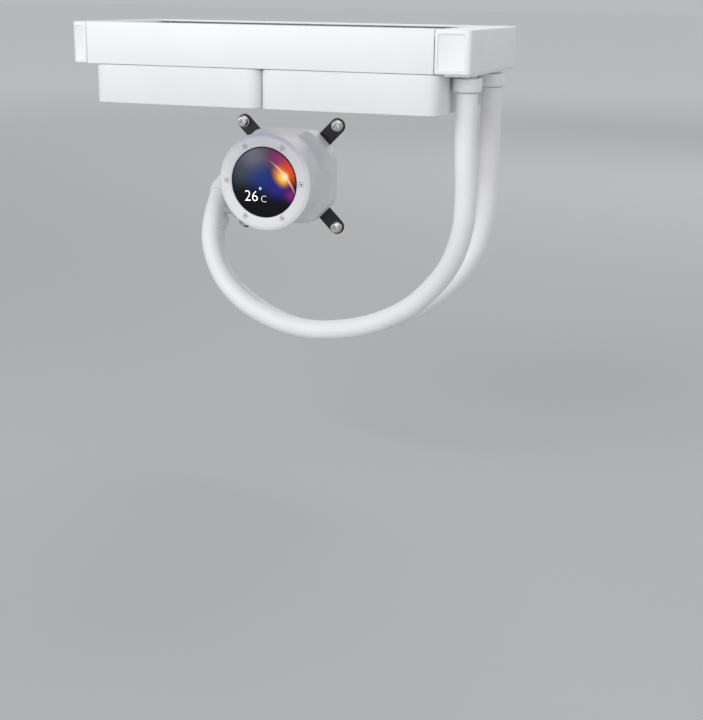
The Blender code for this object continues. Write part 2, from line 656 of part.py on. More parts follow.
def make_housing():
    """An eight-sided base that runs into a round barrel, hollow from both ends, with two side ports."""
    rim = PUMP_HEIGHT - RING_THICKNESS - GAP
    bm = bmesh.new()
    outline = octagon(BASE_FLAT, BASE_RISE, BASE_DIAGONAL, BASE_FILLET)
    prism(bm, outline, BASE_UNDERSIDE, BASE_TOP, PUMP_TO_WORLD)
    housing = add_piece("pump_housing", bm, WHITE_PLASTIC)
    bm = bmesh.new()
    slope = BASE_CHAMFER + PUMP_RADIUS - 1.0
    barrel = [
        (0, BASE_UNDERSIDE + 3), (PUMP_RADIUS, BASE_UNDERSIDE + 3), (slope, BASE_TOP - 1.0),
        (slope, BASE_TOP), (PUMP_RADIUS, BASE_TOP + BASE_CHAMFER), (PUMP_RADIUS, rim), (0, rim),
    ]
    turned(bm, barrel, 40, PUMP_TO_WORLD)
    shape_with(housing, "UNION", bm)
    bm = bmesh.new()
    low = (BASE_SIDE_X, ELBOW_PORTS_Y - PORT_BLOCK, min(ELBOW_PORTS.values()) - PORT_BLOCK)
    high = (BASE_SIDE_X + 2 * PORT_BLOCK, ELBOW_PORTS_Y + PORT_BLOCK, max(ELBOW_PORTS.values()) + PORT_BLOCK)
    block(bm, low, high)
    shape_with(housing, "UNION", bm)
    bm = bmesh.new()
    wet = [(0, BASE_UNDERSIDE - 1), (WET_RADIUS, BASE_UNDERSIDE - 1), (WET_RADIUS, WET_TOP), (0, WET_TOP)]
    turned(bm, wet, 32, PUMP_TO_WORLD)
    shape_with(housing, "DIFFERENCE", bm)
    bm = bmesh.new()
    dry = [(0, DRY_FLOOR), (DRY_RADIUS, DRY_FLOOR), (DRY_RADIUS, rim + 1), (0, rim + 1)]
    turned(bm, dry, 32, PUMP_TO_WORLD)
    shape_with(housing, "DIFFERENCE", bm)
    bm = bmesh.new()
    for port_z in ELBOW_PORTS.values():
        stop = BASE_SIDE_X + ELBOW_STEM_DEPTH + 2 * GAP
        start, end = (BASE_SIDE_X - 1, ELBOW_PORTS_Y, port_z), (stop, ELBOW_PORTS_Y, port_z)
        rod(bm, ELBOW_STEM_RADIUS + STEM_CLEARANCE, start, end, 24)
    shape_with(housing, "DIFFERENCE", bm)
    bm = bmesh.new()
    for port_z in ELBOW_PORTS.values():
        start = Vector((BASE_SIDE_X + ELBOW_STEM_DEPTH, ELBOW_PORTS_Y, port_z))
        aim = Vector((PUMP_X, ELBOW_PORTS_Y, PUMP_Z)) - start
        rod(bm, PASSAGE_RADIUS, start, start + aim * (1 - (WET_RADIUS - 2) / aim.length), 12)
    shape_with(housing, "DIFFERENCE", bm)
    bm = bmesh.new()
    for x, y in ring_screw_places():
        foot, head = PUMP_TO_WORLD @ Vector((x, y, rim - 8)), PUMP_TO_WORLD @ Vector((x, y, rim + 1))
        rod(bm, RING_SCREW_RADIUS + GAP, foot, head, 8)
    shape_with(housing, "DIFFERENCE", bm)


def ring_screw_places():
    """Six screws round the face, one pair of them level."""
    angles = [math.tau * k / RING_SCREWS for k in range(RING_SCREWS)]
    return [(RING_SCREW_CIRCLE * math.cos(a), RING_SCREW_CIRCLE * math.sin(a)) for a in angles]


def make_face():
    """The face ring, the glass it holds, the display behind, and the ring's screws."""
    low, top = PUMP_HEIGHT - RING_THICKNESS, PUMP_HEIGHT
    inner = DISPLAY_RADIUS + GAP
    profile = [
        (inner, low), (RING_RADIUS, low), (RING_RADIUS, top - RING_BEVEL), (RING_RADIUS - RING_BEVEL, top),
        (inner, top),
    ]
    ring = make("pump_face_ring", WHITE_PLASTIC, turned, profile, 40, PUMP_TO_WORLD)
    bm = bmesh.new()
    for x, y in ring_screw_places():
        foot, head = PUMP_TO_WORLD @ Vector((x, y, low - 1)), PUMP_TO_WORLD @ Vector((x, y, top))
        rod(bm, RING_SCREW_RADIUS + GAP, foot, head, 8)
    shape_with(ring, "DIFFERENCE", bm)
    bm = bmesh.new()
    for x, y in ring_screw_places():
        seat, above = PUMP_TO_WORLD @ Vector((x, y, top - 1.5)), PUMP_TO_WORLD @ Vector((x, y, top + 1))
        rod(bm, RING_SCREW_HEAD + GAP, seat, above, 10)
    shape_with(ring, "DIFFERENCE", bm)
    glass = [(0, low + 0.2), (DISPLAY_RADIUS, low + 0.2), (DISPLAY_RADIUS, top - 0.5), (0, top - 0.5)]
    make("display_glass", DARK_GLASS, turned, glass, 48, PUMP_TO_WORLD)
    panel_low, panel_top = low - 6.0, low - 0.5
    panel = [(0, panel_low), (DRY_RADIUS - 0.6, panel_low), (DRY_RADIUS - 0.6, panel_top), (0, panel_top)]
    make("display_panel", BLACK_PLASTIC, turned, panel, 32, PUMP_TO_WORLD)
    for number, (x, y) in enumerate(ring_screw_places(), 1):
        head, foot = top - 0.2, top - RING_THICKNESS - 7.0
        profile = [
            (0, foot), (RING_SCREW_RADIUS, foot), (RING_SCREW_RADIUS, top - 1.2),
            (RING_SCREW_HEAD, top - 1.2), (RING_SCREW_HEAD, head), (0.7, head), (0.7, head - 0.5),
            (0, head - 0.5),
        ]
        place = PUMP_TO_WORLD @ Matrix.Translation((x, y, 0))
        make(f"ring_screw_{number}", STEEL, turned, profile, 8, place)


def make_pump_works():
    """Motor and board on the dry side; impeller, shaft and jet plate on the wet side."""
    bm = bmesh.new()
    poles = toothed(10.0, DRY_RADIUS - STATOR_CLEARANCE, 6)
    prism(bm, poles, DRY_FLOOR + GAP, DRY_FLOOR + 9.0, PUMP_TO_WORLD)
    add_piece("pump_stator", bm, BLACK_STEEL)
    board_low, board_high, board_radius = DRY_FLOOR + 12.0, DRY_FLOOR + 13.6, DRY_RADIUS - 2 * GAP
    board = [(0, board_low), (board_radius, board_low), (board_radius, board_high), (0, board_high)]
    make("control_board", CIRCUIT_BOARD, turned, board, 24, PUMP_TO_WORLD)
    foot, head = PUMP_TO_WORLD @ Vector((0, 0, 10.5)), PUMP_TO_WORLD @ Vector((0, 0, WET_TOP - GAP))
    make("impeller_shaft", STEEL, rod, SHAFT_RADIUS, foot, head, 16)
    bore, low, high = SHAFT_RADIUS + RUNNING, 12.0, WET_TOP - 2.0
    disc = [(bore, low + 4), (IMPELLER_RADIUS, low + 4), (IMPELLER_RADIUS, high), (bore, high)]
    axis = PUMP_TO_WORLD @ Vector((0, 0, low))
    bm = bmesh.new()
    turned(bm, disc, 24, PUMP_TO_WORLD)
    impeller = add_piece("pump_impeller", bm, BLACK_PLASTIC, origin=axis)
    bm = bmesh.new()
    for k in range(IMPELLER_VANES):
        turn = PUMP_TO_WORLD @ Matrix.Rotation(math.tau * k / IMPELLER_VANES, 4, "Z")
        outline = [(5.0, -0.7), (12.0, 1.4), (18.5, 5.4), (17.6, 6.8), (11.4, 3.0), (5.0, 0.9)]
        prism(bm, outline, low, low + 4.5, turn)
    shape_with(impeller, "UNION", bm)
    cover = [(5.5, 8.0), (WET_RADIUS - 0.4, 8.0), (WET_RADIUS - 0.4, 9.6), (5.5, 9.6)]
    make("impeller_cover", BLACK_PLASTIC, turned, cover, 24, PUMP_TO_WORLD)


def make_cold_side():
    """Cold plate with its fin block, the seal round it, the bracket and the bracket's thumb screws."""
    half, fins = PLATE_SIDE / 2, FIN_BLOCK_SIDE / 2
    bm = bmesh.new()
    prism(bm, rectangle(half, half, 4.0), 0.0, PLATE_THICKNESS, PUMP_TO_WORLD)
    plate = add_piece("cold_plate", bm, COPPER)
    bm = bmesh.new()
    low, high = PLATE_THICKNESS - 0.5, PLATE_THICKNESS + FIN_BLOCK_HEIGHT
    prism(bm, rectangle(fins, fins, 1.0, 2), low, high, PUMP_TO_WORLD)
    shape_with(plate, "UNION", bm)
    low, high = PLATE_THICKNESS + GAP, BASE_UNDERSIDE - GAP
    seal = [(SEAL_RADIUS - 2, low), (SEAL_RADIUS, low), (SEAL_RADIUS, high), (SEAL_RADIUS - 2, high)]
    make("plate_seal", BLACK_RUBBER, turned, seal, 24, PUMP_TO_WORLD)
    spread = BRACKET_SPACING / 2
    bm = bmesh.new()
    bracket_low, bracket_high = high - BRACKET_THICKNESS, high
    arms = spider(34.5, math.hypot(spread, spread) + 5.5, 6.0, steps=6)
    prism(bm, arms, bracket_low, bracket_high, PUMP_TO_WORLD)
    bracket = add_piece("mounting_bracket", bm, BLACK_STEEL)
    bm = bmesh.new()
    turned(bm, [(0, 0.0), (SEAL_RADIUS + 0.6, 0.0), (SEAL_RADIUS + 0.6, 9.0), (0, 9.0)], 24, PUMP_TO_WORLD)
    for sx, sy in ((-1, -1), (1, -1), (1, 1), (-1, 1)):
        x, y = sx * spread, sy * spread
        low_end, high_end = PUMP_TO_WORLD @ Vector((x, y, 0)), PUMP_TO_WORLD @ Vector((x, y, 9))
        rod(bm, BRACKET_SCREW_RADIUS + SLIP, low_end, high_end, 12)
    shape_with(bracket, "DIFFERENCE", bm)
    for number, (sx, sy) in enumerate(((-1, -1), (1, -1), (1, 1), (-1, 1)), 1):
        head = bracket_high + GAP
        profile = [
            (0, -6.0), (BRACKET_SCREW_RADIUS, -6.0), (BRACKET_SCREW_RADIUS, head), (4.2, head),
            (4.2, head + 5.0), (3.4, head + 6.0), (1.6, head + 6.0), (1.6, head + 4.6), (0, head + 4.6),
        ]
        place = PUMP_TO_WORLD @ Matrix.Translation((sx * spread, sy * spread, 0))
        make(f"bracket_screw_{number}", STEEL, turned, profile, 10, place)


def outlet_direction(turn):
    """The way an elbow's outlet points."""
    angle = math.radians(turn)
    return Vector((0.0, -math.sin(angle), -math.cos(angle)))


def elbow_corner(key):
    """Where an elbow's stem and its outlet would cross."""
    return Vector((BASE_SIDE_X - ELBOW_REACH[key], ELBOW_PORTS_Y, ELBOW_PORTS[key]))


def elbow_end(key):
    """Where a hose starts at its elbow, and the way it leaves."""
    way = outlet_direction(ELBOW_TURN[key])
    return elbow_corner(key) + way * (ELBOW_OUTLET + GAP + COLLAR_LENGTH + GAP), way


def make_elbow(key):
    """A hollow swivel elbow on its side port, with the crimped collar of its hose."""
    back, way = Vector((1.0, 0.0, 0.0)), outlet_direction(ELBOW_TURN[key])
    corner = elbow_corner(key)
    shoulder = ELBOW_REACH[key] - GAP
    stem = ELBOW_REACH[key] + ELBOW_STEM_DEPTH
    barb = ELBOW_OUTLET + GAP + COLLAR_LENGTH - 2 * GAP

    def bend(radius, reverse=False):
        """Rings round the bend."""
        rings = []
        for k in range(5):
            angle = math.pi / 2 * k / 4
            lift = back * (1 - math.sin(angle)) + way * (1 - math.cos(angle))
            tangent = way * math.sin(angle) - back * math.cos(angle)
            rings.append((corner + lift * (ELBOW_BEND - 0.4), tangent, radius))
        return rings[::-1] if reverse else rings

    outside = [
        (corner + back * stem, -back, ELBOW_STEM_RADIUS),
        (corner + back * shoulder, -back, ELBOW_STEM_RADIUS),
        (corner + back * shoulder, -back, ELBOW_RADIUS),
        *bend(ELBOW_RADIUS),
        (corner + way * ELBOW_OUTLET, way, ELBOW_RADIUS),
        (corner + way * ELBOW_OUTLET, way, NECK_RADIUS),
        (corner + way * barb, way, NECK_RADIUS),
    ]
    inside = [
        (corner + way * barb, way, NECK_BORE),
        *bend(NECK_BORE, reverse=True),
        (corner + back * stem, -back, NECK_BORE),
    ]
    axis = tuple(corner)
    across = way.cross(back).normalized()
    make(f"{key}_elbow", WHITE_PLASTIC, ring_sweep, outside + inside, across, 12, origin=axis)
    start, end = ELBOW_OUTLET + GAP, ELBOW_OUTLET + GAP + COLLAR_LENGTH
    bore = NECK_RADIUS + GAP
    along = Matrix.Translation(corner) @ way.to_track_quat("Z", "X").to_matrix().to_4x4()
    profile = [(bore, start), (ELBOW_COLLAR_RADIUS, start), (ELBOW_COLLAR_RADIUS, end), (bore, end)]
    make(f"{key}_elbow_collar", WHITE_PLASTIC, turned, profile, 24, along, origin=axis)


def make_pump():
    """The whole pump head."""
    make_housing()
    make_face()
    make_pump_works()
    make_cold_side()
    for key in ELBOW_PORTS:
        make_elbow(key)


# ---------------------------------------------------------------- hoses
def make_hose(name, port_y, route, key):
    """One hose, from its collar under the radiator to its collar at the pump."""
    collar_low = UNDERSIDE - COLLAR_DROP - COLLAR_LENGTH
    start = Vector((PORT_X, port_y, collar_low - GAP))
    end, way = elbow_end(key)
    first, last = start - Vector((0, 0, HOSE_LEAD)), end + way * HOSE_LEAD
    points = [start, *smooth_route([first, *route, last], HOSE_STEP), end]
    curve = bpy.data.curves.new(name, "CURVE")
    curve.dimensions = "3D"
    spline = curve.splines.new("POLY")
    spline.points.add(len(points) - 1)
    for place, point in zip(spline.points, points):
        place.co = (*(point * MM), 1.0)
    curve.bevel_depth = HOSE_DIAMETER / 2 * MM
    curve.bevel_resolution = 2
    curve.use_fill_caps = True
    curve.materials.append(finish(name, WHITE_RUBBER))
    bpy.context.scene.collection.objects.link(bpy.data.objects.new(name, curve))


def make_hoses():
    """Both hoses and their collars under the radiator."""
    high, low = UNDERSIDE - COLLAR_DROP, UNDERSIDE - COLLAR_DROP - COLLAR_LENGTH
    bore = NECK_RADIUS + GAP
    profile = [
        (bore, low), (COLLAR_RADIUS - 0.6, low), (COLLAR_RADIUS, low + 0.6), (COLLAR_RADIUS, high - 0.6),
        (COLLAR_RADIUS - 0.6, high), (bore, high),
    ]
    for side, y in PORTS.items():
        make(f"{side}_hose_collar", WHITE_PLASTIC, turned, profile, 20, Matrix.Translation((PORT_X, y, 0)))
    make_hose("front_hose", PORTS["front"], FRONT_ROUTE, "upper")
    make_hose("rear_hose", PORTS["rear"], REAR_ROUTE, "lower")


clear_scene()
make_radiator()
for fan_side in FAN_CENTRES:
    make_fan(fan_side)
make_pump()
make_hoses()
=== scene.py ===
"""Looks of a closed-loop liquid cooler: a white 240 mm radiator with two lit fans, two sleeved hoses and a
round pump head.  Meshes are drawn in millimetres and scaled to metres as each piece is finished.
"""
import math

import bmesh
import bpy
from mathutils import Matrix, Vector


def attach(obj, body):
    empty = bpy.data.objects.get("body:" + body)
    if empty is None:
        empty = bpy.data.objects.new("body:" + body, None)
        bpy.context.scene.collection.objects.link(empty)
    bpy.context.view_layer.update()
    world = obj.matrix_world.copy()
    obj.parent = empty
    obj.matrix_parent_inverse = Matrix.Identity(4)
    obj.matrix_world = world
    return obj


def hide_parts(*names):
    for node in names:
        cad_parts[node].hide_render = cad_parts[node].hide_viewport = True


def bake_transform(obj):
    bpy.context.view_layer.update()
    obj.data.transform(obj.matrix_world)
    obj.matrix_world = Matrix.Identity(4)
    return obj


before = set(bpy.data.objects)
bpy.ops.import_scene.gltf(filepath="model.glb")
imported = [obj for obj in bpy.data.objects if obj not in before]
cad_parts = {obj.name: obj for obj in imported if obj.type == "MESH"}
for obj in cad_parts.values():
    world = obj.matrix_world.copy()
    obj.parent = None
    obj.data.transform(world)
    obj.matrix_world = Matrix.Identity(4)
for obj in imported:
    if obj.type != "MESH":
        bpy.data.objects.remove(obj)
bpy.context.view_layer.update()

# ---------------------------------------------------------------- camera
# The cooler is seen from the front right and a little above, as it hangs under the roof of its case.
# A moderately long lens stands about 0.9 m away.
MM = 0.001
YAW, PITCH, ROLL = (math.radians(a) for a in (19.669, 15.789, 0.749))
forward = Vector((-math.sin(YAW) * math.cos(PITCH), math.cos(YAW) * math.cos(PITCH), -math.sin(PITCH)))
level = Vector((math.cos(YAW), math.sin(YAW), 0.0))
upright = level.cross(forward)
across = level * math.cos(ROLL) + upright * math.sin(ROLL)
upwards = upright * math.cos(ROLL) - level * math.sin(ROLL)
camera_data = bpy.data.cameras.new("camera")
camera_data.lens = 64.62
camera_data.sensor_width = 36.0
camera = bpy.data.objects.new("camera", camera_data)
turn = Matrix((across, upwards, -forward)).transposed().to_4x4()
camera.matrix_world = Matrix.Translation(Vector((341.35, -831.66, 19.25)) * MM) @ turn
bpy.context.scene.collection.objects.link(camera)
bpy.context.scene.camera = camera


# ---------------------------------------------------------------- hoses
# Two low-permeation rubber hoses in a tight sleeve of white monofilament braid.  Each is pushed over a
# neck under the right tank and over an elbow's barb at the pump head, and hangs in one loop between them.
class Wire:
    """A shader socket that takes arithmetic: each operation adds its Math node."""

    def __init__(self, tree, socket):
        self.tree, self.socket = tree, socket

    def node(self, kind, settings=None, **sockets):
        """Any node, set up first and then fed with values or wires; gives back the node."""
        made = self.tree.nodes.new(kind)
        for key, value in (settings or {}).items():
            if key == "stops":
                ramp = made.color_ramp
                while len(ramp.elements) < len(value):
                    ramp.elements.new(0.5)
                for element, (place, colour) in zip(ramp.elements, value):
                    element.position, element.color = place, (*colour, 1.0)
            else:
                setattr(made, key, value)
        for key, value in sockets.items():
            target = made.inputs[int(key[1:])] if key[0] == "i" and key[1:].isdigit() else made.inputs[key]
            if isinstance(value, Wire):
                self.tree.links.new(value.socket, target)
            else:
                target.default_value = value
        return made

    def math(self, operation, other=None, third=None):
        """One Math node on this wire."""
        sockets = {"i0": self}
        if other is not None:
            sockets["i1"] = other
        if third is not None:
            sockets["i2"] = third
        return Wire(self.tree, self.node("ShaderNodeMath", {"operation": operation}, **sockets).outputs[0])

    def __add__(self, other):
        return self.math("ADD", other)

    def __mul__(self, other):
        return self.math("MULTIPLY", other)

    def __sub__(self, other):
        return self.math("SUBTRACT", other)

    def __rsub__(self, other):
        return (self * -1.0).math("ADD", other)

    def __truediv__(self, other):
        return self.math("DIVIDE", other)

    def __pow__(self, other):
        return self.math("POWER", other)

    __radd__, __rmul__ = __add__, __mul__

    def ramp(self, low, high):
        """0 below low, 1 above high, smooth between."""
        settings = {"interpolation_type": "SMOOTHSTEP"}
        made = self.node("ShaderNodeMapRange", settings, Value=self, **{"From Min": low, "From Max": high})
        return Wire(self.tree, made.outputs[0])

    def mix(self, one, two):
        """Colour one where this wire is 0, colour two where it is 1."""
        made = self.node("ShaderNodeMix", {"data_type": "RGBA"}, i0=self, i6=one, i7=two)
        return Wire(self.tree, made.outputs[2])


class Material:
    """A Principled material with the wires that its patterns start from."""

    def __init__(self, name, colour, roughness, metallic=0.0, **fixed):
        self.data = bpy.data.materials.new(name)
        self.data.use_nodes = True
        tree = self.data.node_tree
        self.shader = tree.nodes["Principled BSDF"]
        self.start = Wire(tree, None)
        self.set(**{"Base Color": (*colour, 1.0), "Roughness": roughness, "Metallic": metallic, **fixed})
        self.place = Wire(tree, self.start.node("ShaderNodeTexCoord").outputs["Object"])

    def set(self, **sockets):
        """Fixed values or wires of the shader's own sockets."""
        for key, value in sockets.items():
            if isinstance(value, Wire):
                self.start.tree.links.new(value.socket, self.shader.inputs[key])
            else:
                self.shader.inputs[key].default_value = value

    def noise(self, scale, detail=2.0, place=None):
        """Soft noise from 0 to 1, scale in lumps per metre."""
        sockets = {"Vector": place or self.place, "Scale": scale, "Detail": detail}
        return Wire(self.start.tree, self.start.node("ShaderNodeTexNoise", **sockets).outputs[0])

    def parts(self, vector=None):
        """The three numbers of a vector, the place by default."""
        made = self.start.node("ShaderNodeSeparateXYZ", Vector=vector or self.place)
        return [Wire(self.start.tree, out) for out in made.outputs]

    def moved(self, centre, rotation=(0, 0, 0)):
        """The place seen from a centre in millimetres and in millimetres, turned about it."""
        settings = {"vector_type": "TEXTURE"}
        sockets = {"Vector": self.place, "Location": [c * MM for c in centre], "Rotation": rotation}
        made = self.start.node("ShaderNodeMapping", settings, **sockets, Scale=(MM, MM, MM))
        return Wire(self.start.tree, made.outputs[0])

    def relief(self, height, distance, strength=1.0):
        """Bump from a height wire; the distance is in metres."""
        made = self.start.node("ShaderNodeBump", Height=height, Distance=distance, Strength=strength)
        self.set(Normal=Wire(self.start.tree, made.outputs[0]))


def piece(name, bm, material, body, slot, *nodes, angle=32.0):
    """Finish a mesh drawn in millimetres, give it its material, and hang it on its body."""
    bmesh.ops.scale(bm, vec=(MM, MM, MM), verts=bm.verts)
    mesh = bpy.data.meshes.new(name)
    bm.to_mesh(mesh)
    bm.free()
    mesh.shade_smooth()
    mesh.set_sharp_from_angle(angle=math.radians(angle))
    mesh.materials.append(material.data)
    made = bpy.data.objects.new(name, mesh)
    bpy.context.scene.collection.objects.link(made)
    if body:
        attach(made, body)
    if nodes:
        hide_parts(*nodes)
    return made


def smooth_route(points, step):
    """Even points on a smooth curve through a route that starts and ends along its first chords."""
    spans = [(b - a).length for a, b in zip(points, points[1:])]
    slopes = [(b - a) / d for a, b, d in zip(points, points[1:], spans)]
    tangents = [slopes[0]]
    for one, two, before, after in zip(slopes, slopes[1:], spans, spans[1:]):
        tangents.append((one * after + two * before) / (before + after))
    tangents.append(slopes[-1])
    fine = []
    for k, span in enumerate(spans):
        for i in range(24):
            t = i / 24
            fine.append(
                points[k] * (1 + 2 * t) * (1 - t) ** 2 + tangents[k] * span * t * (1 - t) ** 2
                + points[k + 1] * t * t * (3 - 2 * t) + tangents[k + 1] * span * t * t * (t - 1)
            )
    fine.append(points[-1])
    run = [0.0]
    for a, b in zip(fine, fine[1:]):
        run.append(run[-1] + (b - a).length)
    count, even, k = round(run[-1] / step), [], 0
    for i in range(count + 1):
        want = run[-1] * i / count
        while k < len(run) - 2 and run[k + 1] < want:
            k += 1
        even.append(fine[k].lerp(fine[k + 1], (want - run[k]) / (run[k + 1] - run[k])))
    return even


def sweep(bm, path, radii, segments, closed=True):
    """A round tube along a path, extruded ring by ring, with a UV of turns and millimetres."""
    ways = [(b - a).normalized() for a, b in zip(path, path[1:])]
    ways = [ways[0]] + [(a + b).normalized() for a, b in zip(ways, ways[1:])] + [ways[-1]]
    side = ways[0].orthogonal().normalized()
    station = bm.verts.layers.float.new("station")
    turn = bm.verts.layers.int.new("turn")
    edges, run = None, 0.0
    for k, (point, way, radius) in enumerate(zip(path, ways, radii)):
        side = (side - way * side.dot(way)).normalized()
        run += (point - path[k - 1]).length if k else 0.0
        if edges is None:
            ring = bmesh.ops.create_circle(bm, segments=segments, radius=1.0)["verts"]
            edges = list({e for v in ring for e in v.link_edges})
        else:
            made = bmesh.ops.extrude_edge_only(bm, edges=edges)["geom"]
            edges = [g for g in made if isinstance(g, bmesh.types.BMEdge)]
            ring = [g for g in made if isinstance(g, bmesh.types.BMVert)]
            ring.sort(key=lambda v: min(e.other_vert(v)[turn] for e in v.link_edges if e not in edges))
        for i, vert in enumerate(ring):
            angle = math.tau * i / segments
            vert.co = point + radius * (side * math.cos(angle) + way.cross(side) * math.sin(angle))
            vert[station], vert[turn] = run, i
    if closed:
        bmesh.ops.holes_fill(bm, edges=[e for e in bm.edges if e.is_boundary])
    bmesh.ops.recalc_face_normals(bm, faces=bm.faces)
    uv = bm.loops.layers.uv.new("UVMap")
    for face in bm.faces:
        turns = [loop.vert[turn] for loop in face.loops]
        for loop in face.loops:
            i = loop.vert[turn]
            i += segments if i == 0 and max(turns) == segments - 1 and len(turns) == 4 else 0
            loop[uv].uv = (i / segments, loop.vert[station] * MM)


PORT_X, PORT_Y, HOSE_TOP = 130.0, 32.0, -39.1
HOSE_RADIUS, HOSE_LEAD = 7.0, 2.5
OUTLET_REACH = 17.7                                  # elbow's corner to the hose
ELBOWS = {                                           # corner, and outlet's turn forward from straight down
    "upper": (Vector((-94.1, 90.0, -120.0)), math.radians(50)),
    "lower": (Vector((-99.5, 90.0, -142.0)), math.radians(24)),
}
HOSES = {
    "front": ("upper", -PORT_Y, 0.4202, [
        (130, -32, -60), (130.7, -31.5, -82), (131, -29.5, -104), (129.2, -26.5, -124),
        (123.8, -21.5, -141.8), (115.2, -15, -157.6), (103.1, -8.5, -172.4), (88.5, -2.5, -186.3),
        (70.8, 3, -197.7), (50.6, 8, -206.7), (28.4, 12.5, -212.7), (5.2, 17, -215.7),
        (-17, 22.5, -214.7), (-38, 28.5, -210.2), (-57, 34.5, -202.7), (-72.5, 40.5, -191.8),
        (-83.6, 46, -177.4), (-90.1, 52, -162.2), (-92.3, 60.5, -146.5),
    ]),
    "rear": ("lower", PORT_Y, 0.4005, [
        (130, 32, -60), (130.5, 31.9, -84), (130.5, 31.4, -107), (129.2, 30.4, -127),
        (125, 29.3, -145.8), (117, 28.6, -162.9), (104.9, 28.4, -178.2), (89.8, 29, -191.2),
        (71.2, 30, -201.6), (49.1, 31.4, -210.5), (25, 33.5, -217.5), (0, 37.5, -221.5),
        (-23, 44, -220.5), (-45, 51.5, -215.1), (-64, 58, -207.3), (-79.5, 64, -198),
        (-91, 69.5, -186.2), (-98, 76, -172.5),
    ]),
}
sleeve = Material("hose_sleeve", (0.80, 0.80, 0.81), 0.5)
around, along, _ = sleeve.parts(Wire(sleeve.start.tree, sleeve.start.node("ShaderNodeUVMap").outputs[0]))
STRANDS, LAY = 24.0, 0.0336                          # strands each way, and metres in which one turns once
strands = []
for hand in (1.0, -1.0):
    phase = around * STRANDS + along * (hand * STRANDS / LAY)
    strands.append((phase * math.tau).math("SINE").math("ABSOLUTE"))
weave = strands[0].math("MAXIMUM", strands[1])
soil = sleeve.noise(60.0)
sleeve.set(**{
    "Base Color": (weave * 0.6 + soil * 0.4).mix((0.72, 0.72, 0.735, 1.0), (0.86, 0.86, 0.865, 1.0)),
    "Roughness": 0.62 - weave * 0.12,
    "Sheen Weight": 0.15,
})
sleeve.relief(weave, 0.00012, 0.55)
for key, (elbow, port_y, length, route) in HOSES.items():
    corner, turned_by = ELBOWS[elbow]
    way = Vector((0.0, -math.sin(turned_by), -math.cos(turned_by)))
    start, end = Vector((PORT_X, port_y, HOSE_TOP)), corner + way * OUTLET_REACH
    middle = [start - Vector((0, 0, HOSE_LEAD)), *[Vector(p) for p in route], end + way * HOSE_LEAD]
    path = [start, *smooth_route(middle, 2.0), end]
    bm = bmesh.new()
    sweep(bm, path, [HOSE_RADIUS] * len(path), 36)
    hose = piece(f"{key}_sleeved_hose", bm, sleeve, None, "white_sleeve", f"{key}_hose")
    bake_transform(hose)
    start * MM
    [p * MM for p in path]


# ---------------------------------------------------------------- radiator core
# Twelve flat aluminium tubes with folded fins of thin foil between them, brazed in a furnace into one
# block and sprayed white from both faces.
def soften(bm, width, segments=2, angle=32.0, edges=None):
    """Round the sharp edges of a mesh."""
    if edges is None:
        sharp = math.radians(angle)
        edges = [e for e in bm.edges if len(e.link_faces) == 2 and e.calc_face_angle(0.0) > sharp]
    bmesh.ops.bevel(
        bm, geom=edges, offset=width, offset_type="OFFSET", segments=segments, profile=0.5,
        affect="EDGES", material=-1, clamp_overlap=True,
    )


def block(bm, low, high):
    """A box between two corners; gives back its faces."""
    size = [b - a for a, b in zip(low, high)]
    centre = [(a + b) / 2 for a, b in zip(low, high)]
    place = Matrix.Translation(centre) @ Matrix.Diagonal((*size, 1.0))
    made = bmesh.ops.create_cube(bm, size=1.0, matrix=place)["verts"]
    return list({f for v in made for f in v.link_faces})


TUBES, TUBE_THICKNESS, CORE_LOW, CORE_HIGH = 12, 2.2, -22.0, -5.0
CORE_LEFT, CORE_RIGHT, FIN_PITCH = -124.5, 116.0, 1.5
tube_pitch = (120.0 - 2.4) / (TUBES + 0.4)
tube_rows = [tube_pitch * (k - (TUBES - 1) / 2) for k in range(TUBES)]
core_paint = Material("core_paint", (0.78, 0.78, 0.79), 0.5, 0.0)
dust = core_paint.noise(900.0, 3.0)
core_paint.set(**{
    "Base Color": dust.mix((0.70, 0.70, 0.715, 1.0), (0.83, 0.83, 0.835, 1.0)),
    "Roughness": 0.45 + dust * 0.2,
})
core_paint.relief(dust, 0.00005, 0.5)
bm = bmesh.new()
for y in tube_rows:
    half = TUBE_THICKNESS / 2
    block(bm, (CORE_LEFT - 1.2, y - half, CORE_LOW), (CORE_RIGHT + 1.2, y + half, CORE_HIGH))
soften(bm, 0.9, 3, edges=[e for e in bm.edges if abs(e.verts[0].co.x - e.verts[1].co.x) > 100.0])
piece("flat_tubes", bm, core_paint, "cooler_body", "bare_aluminium", "radiator_core")
bm = bmesh.new()
rows = [-58.6, *tube_rows, 58.6]
for y, after in zip(rows, rows[1:]):
    near, far = y + TUBE_THICKNESS / 2 + 0.02, after - TUBE_THICKNESS / 2 - 0.02
    near, far = (y, far) if y == rows[0] else (near, after) if after == rows[-1] else (near, far)
    ends = [bm.verts.new((CORE_LEFT + 0.8, near, z)) for z in (CORE_LOW + 0.4, CORE_HIGH - 0.4)]
    fold = [bm.edges.new(ends)]
    for k in range(int((CORE_RIGHT - CORE_LEFT - 2.0) / FIN_PITCH * 2)):
        made = bmesh.ops.extrude_edge_only(bm, edges=fold)["geom"]
        fold = [g for g in made if isinstance(g, bmesh.types.BMEdge)]
        for vert in (g for g in made if isinstance(g, bmesh.types.BMVert)):
            vert.co.x += FIN_PITCH / 2
            vert.co.y = far if k % 2 == 0 else near
bmesh.ops.recalc_face_normals(bm, faces=bm.faces)
fins = piece("folded_fins", bm, core_paint, "cooler_body", "bare_aluminium")
foil = fins.modifiers.new("foil", "SOLIDIFY")
foil.thickness, foil.offset = 0.0001, 0.0


